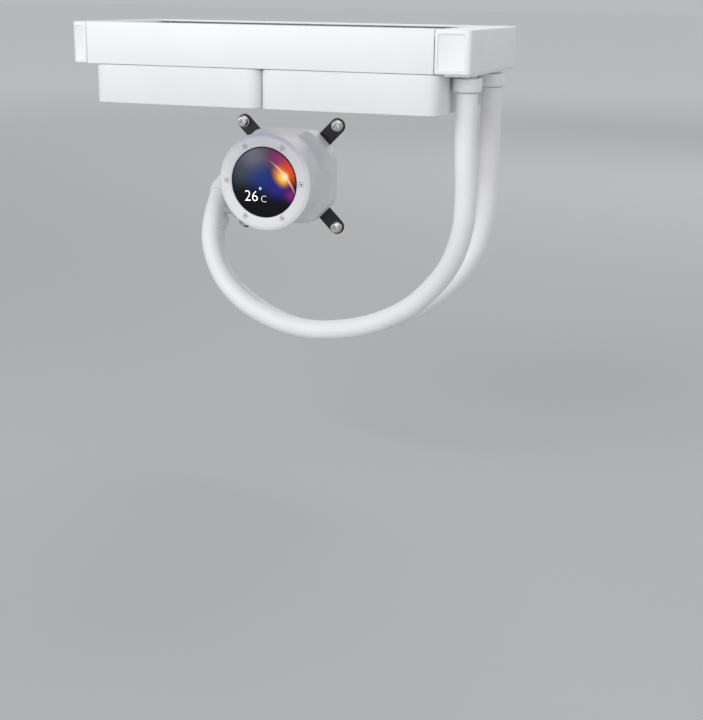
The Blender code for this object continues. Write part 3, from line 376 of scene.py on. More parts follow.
# ---------------------------------------------------------------- tanks
# Folded aluminium boxes brazed over the headers and powder coated white.  Each long side has a shallow
# pressed panel; the right one has a pad and two necks below for the hoses, the left one a filling plug.
def grained(name, colour, roughness, scale, depth, metallic=0.0, **fixed):
    """A coated or moulded surface with fine grain and faint cloudiness."""
    made = Material(name, colour, roughness, metallic, **fixed)
    cloud, grain = made.noise(25.0), made.noise(scale, 3.0)
    low = tuple(c * 0.95 for c in colour)
    made.set(**{
        "Base Color": cloud.mix((*low, 1.0), (*(min(1.0, c * 1.03) for c in colour), 1.0)),
        "Roughness": (roughness - 0.06) + grain * 0.12,
    })
    made.relief(grain, depth, 0.6)
    return made


def cut(target, bm, operation="DIFFERENCE"):
    """Cut shapes drawn in millimetres out of a finished piece, or join them to it."""
    bmesh.ops.recalc_face_normals(bm, faces=bm.faces)
    bmesh.ops.scale(bm, vec=(MM, MM, MM), verts=bm.verts)
    mesh = bpy.data.meshes.new("cutter")
    bm.to_mesh(mesh)
    bm.free()
    tool = bpy.data.objects.new("cutter", mesh)
    bpy.context.scene.collection.objects.link(tool)
    modifier = target.modifiers.new("cut", "BOOLEAN")
    modifier.operation, modifier.solver, modifier.object = operation, "EXACT", tool
    bpy.context.view_layer.update()
    seen = target.evaluated_get(bpy.context.evaluated_depsgraph_get())
    shaped = bpy.data.meshes.new_from_object(seen)
    target.modifiers.clear()
    target.data = shaped
    shaped.shade_smooth()
    shaped.set_sharp_from_angle(angle=math.radians(32))
    bpy.data.objects.remove(tool)


def turned(bm, profile, matrix=None, segments=64):
    """A profile of (radius, height) points spun about Z; closed unless it ends on the axis."""
    verts = [bm.verts.new((radius, 0.0, height)) for radius, height in profile]
    pairs = list(zip(verts, verts[1:]))
    if profile[0][0] > 0 or profile[-1][0] > 0:
        pairs.append((verts[-1], verts[0]))
    edges = [bm.edges.new(pair) for pair in pairs]
    made = bmesh.ops.spin(
        bm, geom=verts + edges, cent=(0, 0, 0), axis=(0, 0, 1), angle=math.tau, steps=segments,
        use_merge=True,
    )
    verts = [v for v in bm.verts if v.is_valid and not v.tag]
    bmesh.ops.remove_doubles(bm, verts=verts, dist=1e-4)
    verts = [v for v in bm.verts if not v.tag]
    bmesh.ops.transform(bm, matrix=matrix or Matrix(), verts=verts)
    bmesh.ops.recalc_face_normals(bm, faces=list({f for v in verts for f in v.link_faces}))
    for vert in verts:
        vert.tag = True


def rod(bm, radius, start, end, segments=32):
    """A round bar between two points."""
    start, end = Vector(start), Vector(end)
    turn = (end - start).to_track_quat("Z", "Y").to_matrix().to_4x4()
    place = Matrix.Translation((start + end) / 2) @ turn
    bmesh.ops.create_cone(
        bm, cap_ends=True, segments=segments, radius1=radius, radius2=radius, depth=(end - start).length,
        matrix=place,
    )


powder = grained("white_powder_coat", (0.83, 0.83, 0.84), 0.42, 1600.0, 0.00004)
RIGHT_END, LEFT_END, HALF, UNDERSIDE = 139.0, -135.0, 60.0, -27.0
for key, ends, panel in (("right", (CORE_RIGHT, RIGHT_END), (118.0, 135.2)),
                         ("left", (LEFT_END, CORE_LEFT), (-133.3, -126.1))):
    bm = bmesh.new()
    faces = block(bm, (ends[0], -HALF, UNDERSIDE), (ends[1], HALF, 0.0))
    outer = RIGHT_END if key == "right" else LEFT_END
    upright_edges = [
        e for e in bm.edges
        if all(abs(v.co.x - outer) < 0.1 for v in e.verts) and abs(e.verts[0].co.z - e.verts[1].co.z) > 1
    ]
    soften(bm, 3.0, 6, edges=upright_edges)
    soften(bm, 1.1, 4, angle=60.0)
    tank = piece(f"{key}_tank_shell", bm, powder, "cooler_body", "white_paint", f"{key}_tank")
    bm = bmesh.new()
    for side in (-1, 1):
        block(bm, (panel[0], side * HALF - 0.6, -24.2), (panel[1], side * HALF + 0.6, -2.8))
    soften(bm, 1.2, 4, edges=[e for e in bm.edges if abs(e.verts[0].co.y - e.verts[1].co.y) > 1.0])
    soften(bm, 0.35, 2, angle=60.0)
    cut(tank, bm)
    if key == "right":
        bm = bmesh.new()
        block(bm, (121.5, -58.0, UNDERSIDE - 1.2), (138.2, 58.0, UNDERSIDE + 2.0))
        soften(bm, 1.0, 3, angle=60.0)
        cut(tank, bm, "UNION")
        bm = bmesh.new()
        for side in (-1, 1):
            neck = [
                (0, -24.0), (6.4, -24.0), (6.4, -28.8), (5.6, -29.5), (5.0, -29.7), (5.0, -37.8),
                (0, -37.8),
            ]
            turned(bm, neck, Matrix.Translation((PORT_X, side * PORT_Y, 0)), 40)
        cut(tank, bm, "UNION")
nickel = Material("nickel_plate", (0.66, 0.65, 0.63), 0.25, 1.0)
brushing = nickel.noise(2200.0, 4.0)
nickel.set(Roughness=0.2 + brushing * 0.2)
nickel.relief(brushing, 0.00002, 0.4)
bm = bmesh.new()
outwards = Matrix.Translation((LEFT_END, 0, UNDERSIDE / 2)) @ Matrix.Rotation(-math.pi / 2, 4, "Y")
turned(bm, [(0, -4), (4, -4), (4, 0.1), (6.6, 0.1), (6.6, 1.5), (6.4, 2.0), (6.0, 2.2), (0, 2.2)], outwards)
plug = piece("filling_plug", bm, nickel, "cooler_body", "steel", "fill_plug")
bm = bmesh.new()
rod(bm, 2.5, (LEFT_END - 4, 0, UNDERSIDE / 2), (LEFT_END - 0.7, 0, UNDERSIDE / 2), 6)
cut(plug, bm)


# ---------------------------------------------------------------- side plates, headers and divider
# The side plates are folded channels of 1.2 mm aluminium, punched for the fans below and for the case
# above, powder coated with the tanks.  The headers and the divider inside are bare brazed sheet.
def refined(name, node, material, body, slot, width=0.3, segments=2):
    """The CAD piece's own shape with merged corners, flat faces and rounded edges."""
    bm = bmesh.new()
    bm.from_mesh(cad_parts[node].data)
    bmesh.ops.scale(bm, vec=(1000.0,) * 3, verts=bm.verts)
    bmesh.ops.remove_doubles(bm, verts=bm.verts, dist=0.002)
    bmesh.ops.dissolve_limit(bm, angle_limit=math.radians(1.0), verts=bm.verts, edges=bm.edges)
    if width:
        soften(bm, width, segments, angle=50.0)
    return piece(name, bm, material, body, slot, node)


bare = grained("brazed_aluminium", (0.72, 0.73, 0.74), 0.38, 1200.0, 0.00003, 1.0)
for side in ("front", "rear"):
    refined(f"{side}_channel", f"{side}_side_plate", powder, "cooler_body", "white_paint", 0.45, 3)
for node in ("left_header", "right_header", "tank_divider"):
    refined(f"{node}_sheet", node, bare, "cooler_body", "bare_aluminium", 0.2, 1)


# ---------------------------------------------------------------- fan frames
# Square 120 mm frames with closed walls, injection moulded in white with a fine grain: a bore with a
# lipped rim, a rubber pad at each corner, and a motor disc on four arms at the radiator's side.
FAN_CENTRES = {"left": -60.0, "right": 60.0}
FAN_TOP, FAN_BOTTOM, FAN_BORE, FAN_HALF = -27.3, -52.3, 57.3, 59.85
FAN_HOLE = 52.5                                      # a fan's axis to its screws, both ways
SPIDER_LOW, SPIDER_HIGH = -30.3, -27.5               # the motor disc and its arms
CORNERS = ((-1, -1), (1, -1), (1, 1), (-1, 1))
spread = [math.tau * k / 180 for k in range(180)]
moulded = grained("white_moulding", (0.80, 0.80, 0.81), 0.46, 1100.0, 0.00006)
pads = grained("grey_rubber", (0.62, 0.62, 0.63), 0.75, 900.0, 0.00005)


def rounded_square(half, corner, angle):
    """The point of a rounded square in a direction."""
    c, s = math.cos(angle), math.sin(angle)
    dx, dy, mid = abs(c), abs(s), half - corner
    reach = half / max(dx, dy)
    if min(dx, dy) * reach > mid:
        along = (dx + dy) * mid
        reach = along + math.sqrt(along * along - (2 * mid * mid - corner * corner))
    return reach * c, reach * s


def layered(bm, loops, matrix):
    """Join loops of equal count in order, and the last to the first, by extruding the first."""
    first = bmesh.ops.create_circle(bm, segments=len(loops[0]), radius=1.0)["verts"]
    edges = list({e for v in first for e in v.link_edges})
    order = [first[0]]
    while len(order) < len(first):
        order.append(next(
            v for e in order[-1].link_edges for v in [e.other_vert(order[-1])] if v not in order[-2:]
            and v not in order
        ))
    rings = [order]
    for _ in loops[1:]:
        made = bmesh.ops.extrude_edge_only(bm, edges=edges)["geom"]
        edges = [g for g in made if isinstance(g, bmesh.types.BMEdge)]
        new = {g for g in made if isinstance(g, bmesh.types.BMVert)}
        rings.append([
            next(e.other_vert(v) for e in v.link_edges if e.other_vert(v) in new) for v in rings[-1]
        ])
    for ring, loop in zip(rings, loops):
        for vert, place in zip(ring, loop):
            vert.co = matrix @ Vector(place)
    first_edges = [e for e in bm.edges if e.is_boundary and e not in edges]
    bmesh.ops.bridge_loops(bm, edges=first_edges + edges)
    bmesh.ops.recalc_face_normals(bm, faces=bm.faces)


def wall_loop(half, corner, z):
    """A level loop round the frame's wall."""
    return [(*rounded_square(half, corner, a), z) for a in spread]


def bore_loop(radius, z):
    """A level loop round the fan's axis or the pump's."""
    return [(radius * math.cos(a), radius * math.sin(a), z) for a in spread]


def gather(bm, one):
    """Put a shape that was made on its own into a larger mesh."""
    held = bpy.data.meshes.new("held")
    one.to_mesh(held)
    one.free()
    bm.from_mesh(held)


for side, centre in FAN_CENTRES.items():
    at_fan = Matrix.Translation((centre, 0, 0))
    loops = [
        wall_loop(FAN_HALF - 0.8, 6.9, FAN_TOP), wall_loop(FAN_HALF, 7.5, FAN_TOP - 0.8),
        wall_loop(FAN_HALF, 7.5, FAN_BOTTOM + 0.8), wall_loop(FAN_HALF - 0.25, 7.3, FAN_BOTTOM + 0.2),
        wall_loop(FAN_HALF - 0.8, 6.9, FAN_BOTTOM), bore_loop(58.6, FAN_BOTTOM),
        bore_loop(58.2, FAN_BOTTOM + 0.5), bore_loop(57.7, FAN_BOTTOM + 0.6),
        bore_loop(FAN_BORE, FAN_BOTTOM + 1.2), bore_loop(FAN_BORE, FAN_TOP - 0.8), bore_loop(57.9, FAN_TOP),
    ]
    bm = bmesh.new()
    layered(bm, loops, at_fan)
    shell = piece(f"fan_{side}_shell", bm, moulded, "cooler_body", "white_plastic", f"fan_{side}_frame")
    bm = bmesh.new()
    for sx, sy in CORNERS:
        x, y = centre + sx * FAN_HOLE, sy * FAN_HOLE
        rod(bm, 2.1, (x, y, FAN_TOP + 1), (x, y, FAN_BOTTOM - 1), 24)
        rod(bm, 4.0, (x, y, FAN_BOTTOM + 2.7), (x, y, FAN_BOTTOM - 1), 32)
    cut(shell, bm)
    bm = bmesh.new()
    disc = [
        (3.2, SPIDER_LOW), (20.0, SPIDER_LOW), (20.6, SPIDER_LOW + 0.6), (20.6, SPIDER_HIGH - 0.7),
        (20.0, SPIDER_HIGH), (3.2, SPIDER_HIGH),
    ]
    turned(bm, disc, at_fan)
    motor = piece(f"fan_{side}_motor_disc", bm, moulded, "cooler_body", "white_plastic")
    bm = bmesh.new()
    for k in range(4):
        one = bmesh.new()
        block(one, (19.0, -3.0, SPIDER_LOW), (58.0, 3.0, SPIDER_HIGH))
        soften(one, 0.7, 3, angle=60.0)
        turn = Matrix.Rotation(math.pi * (k / 2 + 0.25), 4, "Z")
        bmesh.ops.transform(one, matrix=at_fan @ turn, verts=one.verts)
        gather(bm, one)
    cut(motor, bm, "UNION")
    bm = bmesh.new()
    for sx, sy in CORNERS:
        place = Matrix.Translation((centre + sx * FAN_HOLE, sy * FAN_HOLE, FAN_BOTTOM))
        pad = [(4.1, 0.6), (6.4, 0.6), (6.4, -0.15), (6.1, -0.4), (4.5, -0.4), (4.1, -0.1)]
        turned(bm, pad, place, 48)
    piece(f"fan_{side}_corner_pads", bm, pads, "cooler_body", "black_rubber")


# ---------------------------------------------------------------- fan screws
# Long M3 screws, black oxide, with a pan head and a cross recess; they pass through the frame into the
# side plate's flange.
blackened = grained("black_oxide", (0.035, 0.035, 0.038), 0.36, 1500.0, 0.00002, 0.7)
# Near-black painted shade for the bottom of the face screws' sockets, where only shade falls on the steel.
cross = grained("painted_recess_shade", (0.006, 0.006, 0.007), 0.6, 800.0, 0.00002)


def cross_cut(target, place, reach, half_width, low, high, lean):
    """Cut a cross recess into a head, one slot after the other."""
    for angle in (lean, lean + math.pi / 2):
        bm = bmesh.new()
        block(bm, (-reach, -half_width, low), (reach, half_width, high))
        bmesh.ops.transform(bm, matrix=place @ Matrix.Rotation(angle, 4, "Z"), verts=bm.verts)
        cut(target, bm)


HEAD_RADIUS, HEAD_RISE, SHANK_RADIUS, SHANK_LENGTH = 3.6, 2.088, 1.5, 26.0
head_profile = [
    (0, HEAD_RISE), (1.8, HEAD_RISE - 0.05), (3.06, HEAD_RISE * 0.82), (HEAD_RADIUS, HEAD_RISE * 0.45),
    (HEAD_RADIUS, 0), (SHANK_RADIUS, 0), (SHANK_RADIUS, -SHANK_LENGTH), (0, -SHANK_LENGTH),
]
for side, centre in FAN_CENTRES.items():
    for number, (sx, sy) in enumerate(CORNERS, 1):
        seat = Matrix.Translation((centre + sx * FAN_HOLE, sy * FAN_HOLE, FAN_BOTTOM + 2.2))
        place = seat @ Matrix.Rotation(math.pi, 4, "X")
        bm = bmesh.new()
        turned(bm, head_profile, place, 32)
        made = piece(
            f"fan_{side}_screw_{number}_black", bm, blackened, "cooler_body", "black_steel",
            f"fan_{side}_screw_{number}",
        )
        cross_cut(made, place, 1.98, 0.468, HEAD_RISE * 0.35, HEAD_RISE + 1, 0.4)


# ---------------------------------------------------------------- fan wheels
# Nine swept blades and a hub, moulded in milky plastic and lit through from a ring of coloured lights in
# the hub.  The hub carries a plain black disc.
LIT = [
    (0.00, (0.10, 0.75, 0.95)), (0.13, (0.10, 0.90, 0.45)), (0.25, (0.75, 0.95, 0.15)),
    (0.36, (1.00, 0.55, 0.20)), (0.48, (1.00, 0.15, 0.65)), (0.62, (0.55, 0.18, 1.00)),
    (0.78, (0.12, 0.22, 1.00)), (0.92, (0.08, 0.55, 1.00)), (1.00, (0.10, 0.75, 0.95)),
]
BLADES, BLADE_ROOT, BLADE_TIP = 9, 18.8, 55.3
satin_black = grained("satin_black_disc", (0.012, 0.012, 0.014), 0.32, 700.0, 0.00002)
for side, centre in FAN_CENTRES.items():
    milky = Material(f"milky_blades_{side}", (0.74, 0.78, 0.84), 0.32, 0.0, **{
        "Emission Strength": 0.5,
    })
    x, y, _ = milky.parts(milky.moved((centre, 0.0, 0.0)))
    angle = y.math("ARCTAN2", x) / math.tau + 0.5
    ramp = milky.start.node("ShaderNodeValToRGB", {"stops": LIT}, Fac=angle)
    colour = Wire(milky.start.tree, ramp.outputs[0])
    radius = (x * x + y * y) ** 0.5
    glow = 0.35 + radius.ramp(20.0, 30.0) * 0.25 + radius.ramp(44.0, 56.0) * 0.4
    grain = milky.noise(300.0)
    lit = glow.mix((0.0, 0.0, 0.0, 1.0), colour)
    milky.set(**{
        "Emission Color": (radius.ramp(50.0, 56.0) * 0.45).mix(lit, (0.95, 0.97, 1.0, 1.0)),
        "Base Color": grain.mix((0.44, 0.49, 0.57, 1.0), (0.55, 0.60, 0.68, 1.0)),
        "Roughness": 0.26 + grain * 0.12,
    })
    bm = bmesh.new()
    at_fan = Matrix.Translation((centre, 0, 0))
    hub = [(0, -51.3), (18.2, -51.3), (19.3, -50.9), (19.9, -50.2), (20.0, -49.4), (20.0, -31.8),
           (18.4, -31.8), (18.4, -49.5), (0, -49.5)]
    turned(bm, hub, at_fan, 72)
    wheel = piece(f"fan_{side}_wheel_moulding", bm, milky, f"fan_{side}_wheel", "milky_plastic",
                  f"fan_{side}_rotor")
    bm = bmesh.new()
    for index in range(BLADES):
        one = bmesh.new()
        grid = bmesh.ops.create_grid(one, x_segments=16, y_segments=12, size=0.5)["verts"]
        for vert in grid:
            out, chord = vert.co.x + 0.5, vert.co.y
            reach = BLADE_ROOT + (BLADE_TIP - BLADE_ROOT) * out
            sweep_by = 38.0 * out ** 1.4
            width = 30.0 + 3.0 * out - 7.0 * max(0.0, out - 0.86) / 0.14 * (chord + 0.5) ** 2
            rise = 13.5 + 2.6 * out - 3.1 * out * out
            at = math.radians(360.0 * index / BLADES + sweep_by + width * chord)
            height = -40.3 + rise * chord + 1.2 * (1 - 4 * chord * chord)
            vert.co = (reach * math.cos(at) + centre, reach * math.sin(at), height)
        bmesh.ops.recalc_face_normals(one, faces=one.faces)
        bmesh.ops.solidify(one, geom=one.faces[:], thickness=1.4)
        bmesh.ops.recalc_face_normals(one, faces=one.faces)
        soften(one, 0.4, 2, angle=55.0)
        gather(bm, one)
    cut(wheel, bm, "UNION")
    bm = bmesh.new()
    disc = [(0, -51.7), (16.6, -51.7), (17.0, -51.55), (17.0, -51.2), (0, -51.2)]
    turned(bm, disc, at_fan, 72)
    piece(f"fan_{side}_hub_disc", bm, satin_black, f"fan_{side}_wheel", "black_plastic")


# ---------------------------------------------------------------- fan motors
# Inside each hub: a laminated core wound with copper on a sleeve bearing, a steel shaft and the light
# board.
bronze = grained("sintered_bronze", (0.62, 0.45, 0.20), 0.42, 1500.0, 0.00003, 1.0)
board_green = grained("board_lacquer", (0.02, 0.10, 0.06), 0.4, 500.0, 0.00003)
for side in FAN_CENTRES:
    refined(f"fan_{side}_shaft_pin", f"fan_{side}_shaft", nickel, f"fan_{side}_wheel", "steel", 0.15, 1)
    refined(f"fan_{side}_bearing_sleeve", f"fan_{side}_bearing", bronze, "cooler_body", "bronze", 0.2, 1)
    refined(f"fan_{side}_motor_core", f"fan_{side}_stator", blackened, "cooler_body", "black_steel", 0.2, 1)
    refined(f"fan_{side}_light_board", f"fan_{side}_led_board", board_green, "cooler_body",
            "circuit_board", 0.1, 1)


# ---------------------------------------------------------------- pump housing
# One white moulding: an eight-sided base that slopes into a round barrel, with a square boss on its left
# side where the two swivel elbows plug in.
PUMP_X, PUMP_Z, PLATE_Y = -45.0, -116.0, 107.0       # the pump's axis, and the cold plate's face
PUMP = Matrix.Translation((PUMP_X, PLATE_Y, PUMP_Z)) @ Matrix.Rotation(math.pi / 2, 4, "X")
BARREL, RIM = 35.0, 53.2
DRY_RADIUS, DRY_FLOOR, WET_RADIUS, WET_TOP = 26.0, 28.5, 24.6, 26.0
BASE_LOW = 4.8                                       # the base's underside, over the cold plate's face


def eight_sided(grow, angle):
    """The point of the base's outline, eight sides with rounded corners, in a direction."""
    pull = 0.0
    for k, distance in enumerate((39.0, 40.5, 35.5, 40.5) * 2):
        lean = math.cos(angle - math.tau * k / 8)
        pull += (max(lean, 0.0) / (distance + grow)) ** 30
    reach = pull ** (-1 / 30)
    return reach * math.cos(angle), reach * math.sin(angle)


def oval(share, grow=0.0):
    """A loop between the eight-sided base, share 1, and the barrel, share 0."""
    found = []
    for a in spread:
        x, y = eight_sided(grow, a)
        round_x, round_y = (BARREL + grow) * math.cos(a), (BARREL + grow) * math.sin(a)
        found.append((x * share + round_x * (1 - share), y * share + round_y * (1 - share)))
    return found


bm = bmesh.new()
stations = [
    (BASE_LOW, 1.0, -1.2), (5.1, 1.0, -0.5), (5.9, 1.0, 0.0), (19.0, 1.0, 0.0), (26.0, 0.0, 0.0),
    (RIM - 0.6, 0.0, 0.0), (RIM, 0.0, -0.6),
]
loops = [[(x, y, z) for x, y in oval(share, grow)] for z, share, grow in stations]
loops += [
    bore_loop(DRY_RADIUS, RIM), bore_loop(DRY_RADIUS, DRY_FLOOR), bore_loop(4.0, DRY_FLOOR),
    bore_loop(4.0, WET_TOP), bore_loop(WET_RADIUS, WET_TOP), bore_loop(WET_RADIUS, BASE_LOW),
]
layered(bm, loops, PUMP)
shell_white = grained("pump_moulding", (0.74, 0.74, 0.75), 0.44, 1300.0, 0.00004)
housing = piece("pump_shell", bm, shell_white, "cooler_body", "white_plastic", "pump_housing", angle=24.0)
bm = bmesh.new()
block(bm, (-85.5, 82.0, -150.0), (-69.5, 98.0, -112.0))
soften(bm, 1.6, 4, angle=60.0)
cut(housing, bm, "UNION")
bm = bmesh.new()
for corner, _ in ELBOWS.values():
    rod(bm, 4.95, (-90.0, corner.y, corner.z), (-77.9, corner.y, corner.z), 40)
cut(housing, bm)


# ---------------------------------------------------------------- pump face
# A white ring with a bevelled edge and a flat face, held by six small screws; it clamps a black
# glass disc with a round display behind it.
face_white = grained("face_ring_white", (0.84, 0.84, 0.85), 0.34, 1500.0, 0.00003)
FACE = 57.0
bm = bmesh.new()
profile = [
    (26.4, FACE - 3.5), (36.2, FACE - 3.5), (36.5, FACE - 3.2), (36.5, FACE - 2.3), (36.35, FACE - 1.85),
    (35.95, FACE - 1.5), (34.0, FACE - 0.16), (33.5, FACE), (27.3, FACE), (26.9, FACE - 0.12),
    (26.4, FACE - 0.6),
]
turned(bm, profile, PUMP, 128)
ring_piece = piece(
    "face_ring_shell", bm, face_white, "cooler_body", "white_plastic", "pump_face_ring", angle=24.0,
)
RING_SCREWS, SCREW_CIRCLE = 6, 30.0
screw_spots = [
    (SCREW_CIRCLE * math.cos(a), SCREW_CIRCLE * math.sin(a))
    for a in (math.tau * k / RING_SCREWS for k in range(RING_SCREWS))
]
bm = bmesh.new()
for x, y in screw_spots:
    seat = [(0, FACE - 1.5), (2.05, FACE - 1.5), (2.05, FACE - 0.25), (2.35, FACE + 0.1), (0, FACE + 0.1)]
    turned(bm, seat, PUMP @ Matrix.Translation((x, y, 0)), 32)
cut(ring_piece, bm)
bright = grained("face_screw_steel", (0.84, 0.84, 0.85), 0.4, 1500.0, 0.00001, 0.25)
for number, (x, y) in enumerate(screw_spots, 1):
    bm = bmesh.new()
    place = PUMP @ Matrix.Translation((x, y, 0))
    profile = [
        (0, FACE - 0.2), (1.5, FACE - 0.2), (1.75, FACE - 0.45), (1.75, FACE - 1.2), (1.1, FACE - 1.2),
        (1.1, FACE - 10.5), (0, FACE - 10.5),
    ]
    turned(bm, profile, place, 32)
    head = piece(f"face_screw_{number}", bm, bright, "cooler_body", "steel", f"ring_screw_{number}")
    # The head also carries the painted-shade material as a second slot.
    head.data.materials.append(cross.data)
    bm = bmesh.new()
    start, end = place @ Vector((0, 0, FACE - 0.95)), place @ Vector((0, 0, FACE + 1))
    rod(bm, 0.8, start, end, 6)
    cut(head, bm)
    # Each socket is floored with a thin near-black disc: painted shade in the recess, not a dark part of
    # the screw.
    bm = bmesh.new()
    rod(bm, 0.78, place @ Vector((0, 0, FACE - 0.93)), place @ Vector((0, 0, FACE - 0.8)), 6)
    piece(f"face_screw_{number}_socket", bm, cross, "cooler_body", "steel")

glass = Material("display_under_glass", (0.004, 0.004, 0.006), 0.05, 0.0, **{
    "Coat Weight": 0.04, "Coat Roughness": 0.03, "Specular IOR Level": 0.08, "Emission Strength": 1.0,
})
x, _, z = glass.parts(glass.moved((PUMP_X, PLATE_Y - FACE, PUMP_Z)))
radius = (x * x + z * z) ** 0.5


def spot(across_x, up_z, size, stretch=1.0, lean=0.0):
    """A soft patch of light on the display: 1 in its middle, 0 at its edge."""
    c, s = math.cos(lean), math.sin(lean)
    one = (x - across_x) * c + (z - up_z) * s
    two = (z - up_z) * c - (x - across_x) * s
    return 1.0 - ((one * one + two * two * (stretch * stretch)) ** 0.5 / size).ramp(0.0, 1.0)


PATCHES = [                                          # place, size, stretch, lean, strength and colour
    (-9.0, 20.0, 25.0, 1.0, 0.0, 0.85, (0.17, 0.16, 0.22)),
    (-19.0, 6.0, 17.0, 1.0, 0.0, 0.6, (0.05, 0.075, 0.095)),
    (-1.0, 3.0, 19.0, 1.15, 0.0, 0.85, (0.008, 0.035, 0.22)),
    (11.0, -6.0, 15.0, 1.0, 0.0, 0.85, (0.03, 0.02, 0.26)),
    (13.0, 18.0, 15.0, 1.1, 0.0, 0.9, (0.26, 0.03, 0.15)),
    (20.5, 9.0, 15.0, 1.3, -0.95, 1.0, (0.72, 0.07, 0.015)),
    (14.0, 5.0, 11.5, 1.4, -0.95, 1.0, (1.0, 0.33, 0.015)),
    (15.5, 4.2, 7.0, 1.2, -0.95, 1.0, (1.0, 0.66, 0.07)),
    (16.8, 5.2, 3.8, 1.0, 0.0, 1.0, (1.0, 0.93, 0.62)),
    (23.0, -9.0, 9.0, 1.1, 0.0, 0.9, (0.24, 0.012, 0.22)),
]
picture = (0.0, 0.0, 0.002, 1.0)
for at_x, at_z, size, stretch, lean, strength, colour in PATCHES:
    picture = (spot(at_x, at_z, size, stretch, lean) * strength).mix(picture, (*colour, 1.0))
bow = (((x + 21.0) * (x + 21.0) + (z + 26.7) * (z + 26.7)) ** 0.5 - 49.9).math("ABSOLUTE")
picture = ((1.0 - bow.ramp(0.2, 1.0)) * spot(17.0, 5.0, 19.0)).mix(picture, (1.0, 0.66, 0.60, 1.0))
shade = (z * -1.0).ramp(3.0, 17.0) * (1.0 - spot(23.0, -9.0, 12.0))
picture = shade.mix(picture, (0.0, 0.0, 0.001, 1.0))
picture = radius.ramp(25.2, 25.7).mix(picture, (0.0, 0.0, 0.0, 1.0))
smear = glass.noise(70.0)
glass.set(**{"Emission Color": picture, "Roughness": 0.04 + smear * 0.05})
bm = bmesh.new()
profile = [(0, 53.7), (26.1, 53.7), (26.1, 56.3), (25.9, 56.5), (0, 56.5)]
turned(bm, profile, PUMP, 128)
piece("display_glass_disc", bm, glass, "cooler_body", "display_glass", "display_glass")
GLASS_Y = 50.42                                      # just in front of the glass
digits = Material("lit_digits", (0.6, 0.6, 0.6), 0.3, 0.0, **{"Emission Strength": 1.15})
digits.set(**{"Emission Color": digits.noise(100.0).mix((0.92, 0.95, 1.0, 1.0), (1.0, 1.0, 1.0, 1.0))})
for name, words, size, at_x, at_z in (
    ("display_number", "26", 11.5, -16.0, -14.5), ("display_unit", "C", 7.2, -2.7, -14.8),
):
    text = bpy.data.curves.new(name, "FONT")
    text.body, text.size, text.extrude, text.offset = words, size * MM, 0.00004, -0.0002
    holder = bpy.data.objects.new("holder", text)
    bpy.context.scene.collection.objects.link(holder)
    bpy.context.view_layer.update()
    mesh = bpy.data.meshes.new_from_object(holder.evaluated_get(bpy.context.evaluated_depsgraph_get()))
    bpy.data.objects.remove(holder)
    place = Matrix.Translation(Vector((PUMP_X + at_x, GLASS_Y, PUMP_Z + at_z)) * MM)
    mesh.transform(place @ Matrix.Rotation(math.pi / 2, 4, "X"))
    mesh.materials.clear()
    mesh.materials.append(digits.data)
    shown = bpy.data.objects.new(name, mesh)
    bpy.context.scene.collection.objects.link(shown)
    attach(shown, "cooler_body")
bm = bmesh.new()
degree = Matrix.Translation((PUMP_X - 3.0, GLASS_Y, PUMP_Z - 4.8)) @ Matrix.Rotation(math.pi / 2, 4, "X")
turned(bm, [(0.65, -0.04), (0.95, -0.04), (0.95, 0.04), (0.65, 0.04)], degree, 24)
piece("display_degree", bm, digits, "cooler_body", "display_glass")


# ---------------------------------------------------------------- pump works and cold side
# The display panel, the board and the motor sit dry in the barrel; the impeller turns in the liquid over
# the copper plate, which a rubber ring seals and a black steel bracket presses on the processor.
black_moulding = grained("black_moulding", (0.03, 0.03, 0.034), 0.5, 900.0, 0.00004)
rubber = grained("black_rubber", (0.02, 0.02, 0.021), 0.8, 900.0, 0.00004)
copper = grained("machined_copper", (0.80, 0.40, 0.25), 0.25, 1800.0, 0.00002, 1.0)
for node, material, slot_name, width in (
    ("display_panel", black_moulding, "black_plastic", 0.3),
    ("control_board", board_green, "circuit_board", 0.1),
    ("pump_stator", blackened, "black_steel", 0.3), ("impeller_shaft", nickel, "steel", 0.15),
    ("impeller_cover", black_moulding, "black_plastic", 0.2), ("plate_seal", rubber, "black_rubber", 0.1),
    ("cold_plate", copper, "copper", 0.25), ("mounting_bracket", blackened, "black_steel", 0.2),
):
    refined(f"{node}_part", node, material, "cooler_body", slot_name, width, 1)
refined("impeller_wheel", "pump_impeller", black_moulding, "pump_wheel", "black_plastic", 0.0)
BRACKET_HOLE = 39.0                                  # the pump's axis to the bracket's screws, both ways
for number, (sx, sy) in enumerate(CORNERS, 1):
    bm = bmesh.new()
    place = PUMP @ Matrix.Translation((sx * BRACKET_HOLE, sy * BRACKET_HOLE, 0))
    profile = [
        (0, -6.0), (1.5, -6.0), (1.9, -5.5), (1.9, 4.8), (4.4, 4.8), (4.4, 5.4), (3.9, 5.8), (3.9, 9.0),
        (3.5, 9.8), (2.9, 10.1), (1.9, 10.1), (1.9, 9.2), (0, 9.2),
    ]
    turned(bm, profile, place, 48)
    stud = piece(f"mounting_nut_{number}", bm, nickel, "cooler_body", "steel", f"bracket_screw_{number}")
    cross_cut(stud, place, 2.1, 0.45, 7.6, 10.4, 0.3)


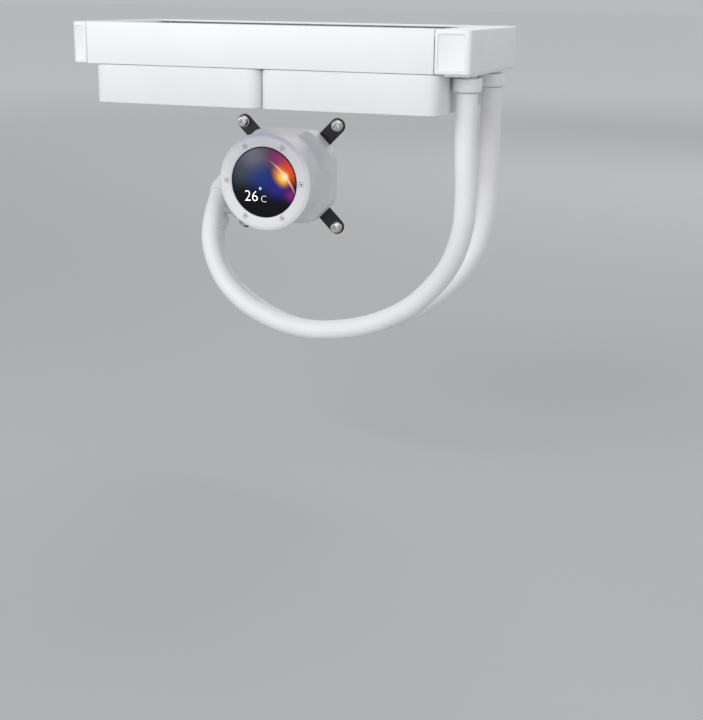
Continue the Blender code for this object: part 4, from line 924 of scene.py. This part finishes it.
# ---------------------------------------------------------------- hose collars and swivel elbows
# White moulded caps hide the crimp at each hose end.  At the pump each hose sits on a hollow elbow whose
# stem turns in its port on a sealing ring.
cap_white = grained("collar_white", (0.82, 0.82, 0.83), 0.36, 1500.0, 0.00003)
for key, side in (("front", -1), ("rear", 1)):
    bm = bmesh.new()
    profile = [
        (5.3, -30.1), (8.7, -30.1), (9.2, -30.5), (9.3, -31.2), (9.3, -36.6), (9.1, -38.0), (8.5, -38.65),
        (7.6, -38.8), (7.3, -38.5), (5.3, -38.5),
    ]
    turned(bm, profile, Matrix.Translation((PORT_X, side * PORT_Y, 0)), 72)
    piece(
        f"{key}_port_collar", bm, cap_white, "cooler_body", "white_fitting", f"{key}_hose_collar",
        angle=40.0,
    )
for key, (corner, turned_by) in ELBOWS.items():
    back, way = Vector((1.0, 0.0, 0.0)), Vector((0.0, -math.sin(turned_by), -math.cos(turned_by)))
    shoulder = -85.5 - corner.x - 0.3
    bend = [corner + back * 7.0 * (1 - t) ** 2 + way * 7.0 * t * t for t in (k / 10 for k in range(11))]
    path = [corner + back * shoulder, *bend, corner + way * 8.4]
    radii = [6.8] * len(path)
    path = [path[0] + back * 6.6, path[0] + back * 0.01, path[0], path[0] - back * 0.5, *path[1:]]
    radii = [4.6, 4.6, 6.3, 6.8, *radii[1:]]
    path += [path[-1] + way * 0.01, path[-1] + way * 7.0]
    radii += [5.0, 5.0]
    bm = bmesh.new()
    sweep(bm, path, radii, 48)
    piece(f"{key}_elbow_tube", bm, cap_white, f"{key}_swivel", "white_fitting", f"{key}_elbow", angle=50.0)
    bm = bmesh.new()
    down = way.to_track_quat("Z", "Y").to_matrix().to_4x4()
    place = Matrix.Translation(corner) @ down
    profile = [
        (5.3, 8.7), (7.6, 8.7), (8.1, 9.1), (8.2, 9.8), (8.2, 16.2), (8.0, 17.0), (7.5, 17.4), (5.3, 17.4),
    ]
    turned(bm, profile, place, 72)
    piece(
        f"{key}_elbow_cap", bm, cap_white, f"{key}_swivel", "white_fitting", f"{key}_elbow_collar",
        angle=40.0,
    )


# ---------------------------------------------------------------- studio
# A pale floor below the hanging cooler, painted lighter with distance as painted light that makes up for
# the lamps' falloff and meets the horizon; one broad key light and two fills.
floor_paint = Material("floor_paint", (0.5, 0.505, 0.515), 0.75)
x, y, _ = floor_paint.parts()
away = (x * x + y * y) ** 0.5
under = Wire(away.tree, away.node("ShaderNodeNewGeometry").outputs["Backfacing"])
floor_paint.set(**{
    # Painted light: the floor's colour rises from grey near the cooler to near white far off, standing in
    # for the light that the lamps don't reach there.
    "Base Color": away.ramp(0.6, 4.5).mix((0.46, 0.465, 0.475, 1.0), (0.98, 0.98, 0.99, 1.0)),
    "Alpha": 1.0 - under,
})
bm = bmesh.new()
bmesh.ops.create_grid(bm, x_segments=4, y_segments=4, size=30000.0)
bmesh.ops.translate(bm, vec=(0, 0, -330.0), verts=bm.verts)
bmesh.ops.scale(bm, vec=(MM, MM, MM), verts=bm.verts)
mesh = bpy.data.meshes.new("floor")
bm.to_mesh(mesh)
bm.free()
mesh.materials.append(floor_paint.data)
floor = bpy.data.objects.new("floor", mesh)
bpy.context.scene.collection.objects.link(floor)
for name, place, size, power in (
    ("key", (-0.7, -1.7, 0.75), 1.6, 27.0), ("fill", (1.7, -0.9, 0.4), 1.6, 7.0),
    ("back", (0.2, 1.6, 1.2), 1.6, 12.0),
):
    data = bpy.data.lights.new(name, "AREA")
    data.shape, data.size, data.energy = "SQUARE", size, power
    lamp = bpy.data.objects.new(name, data)
    aim = Vector((0.0, 0.02, -0.1)) - Vector(place)
    lamp.matrix_world = Matrix.Translation(place) @ aim.to_track_quat("-Z", "Y").to_matrix().to_4x4()
    bpy.context.scene.collection.objects.link(lamp)
world = bpy.data.worlds.new("studio")
world.use_nodes = True
world.node_tree.nodes["Background"].inputs["Color"].default_value = (0.97, 0.98, 1.0, 1.0)
world.node_tree.nodes["Background"].inputs["Strength"].default_value = 0.5
bpy.context.scene.world = world
bpy.context.scene.view_settings.view_transform = "Standard"
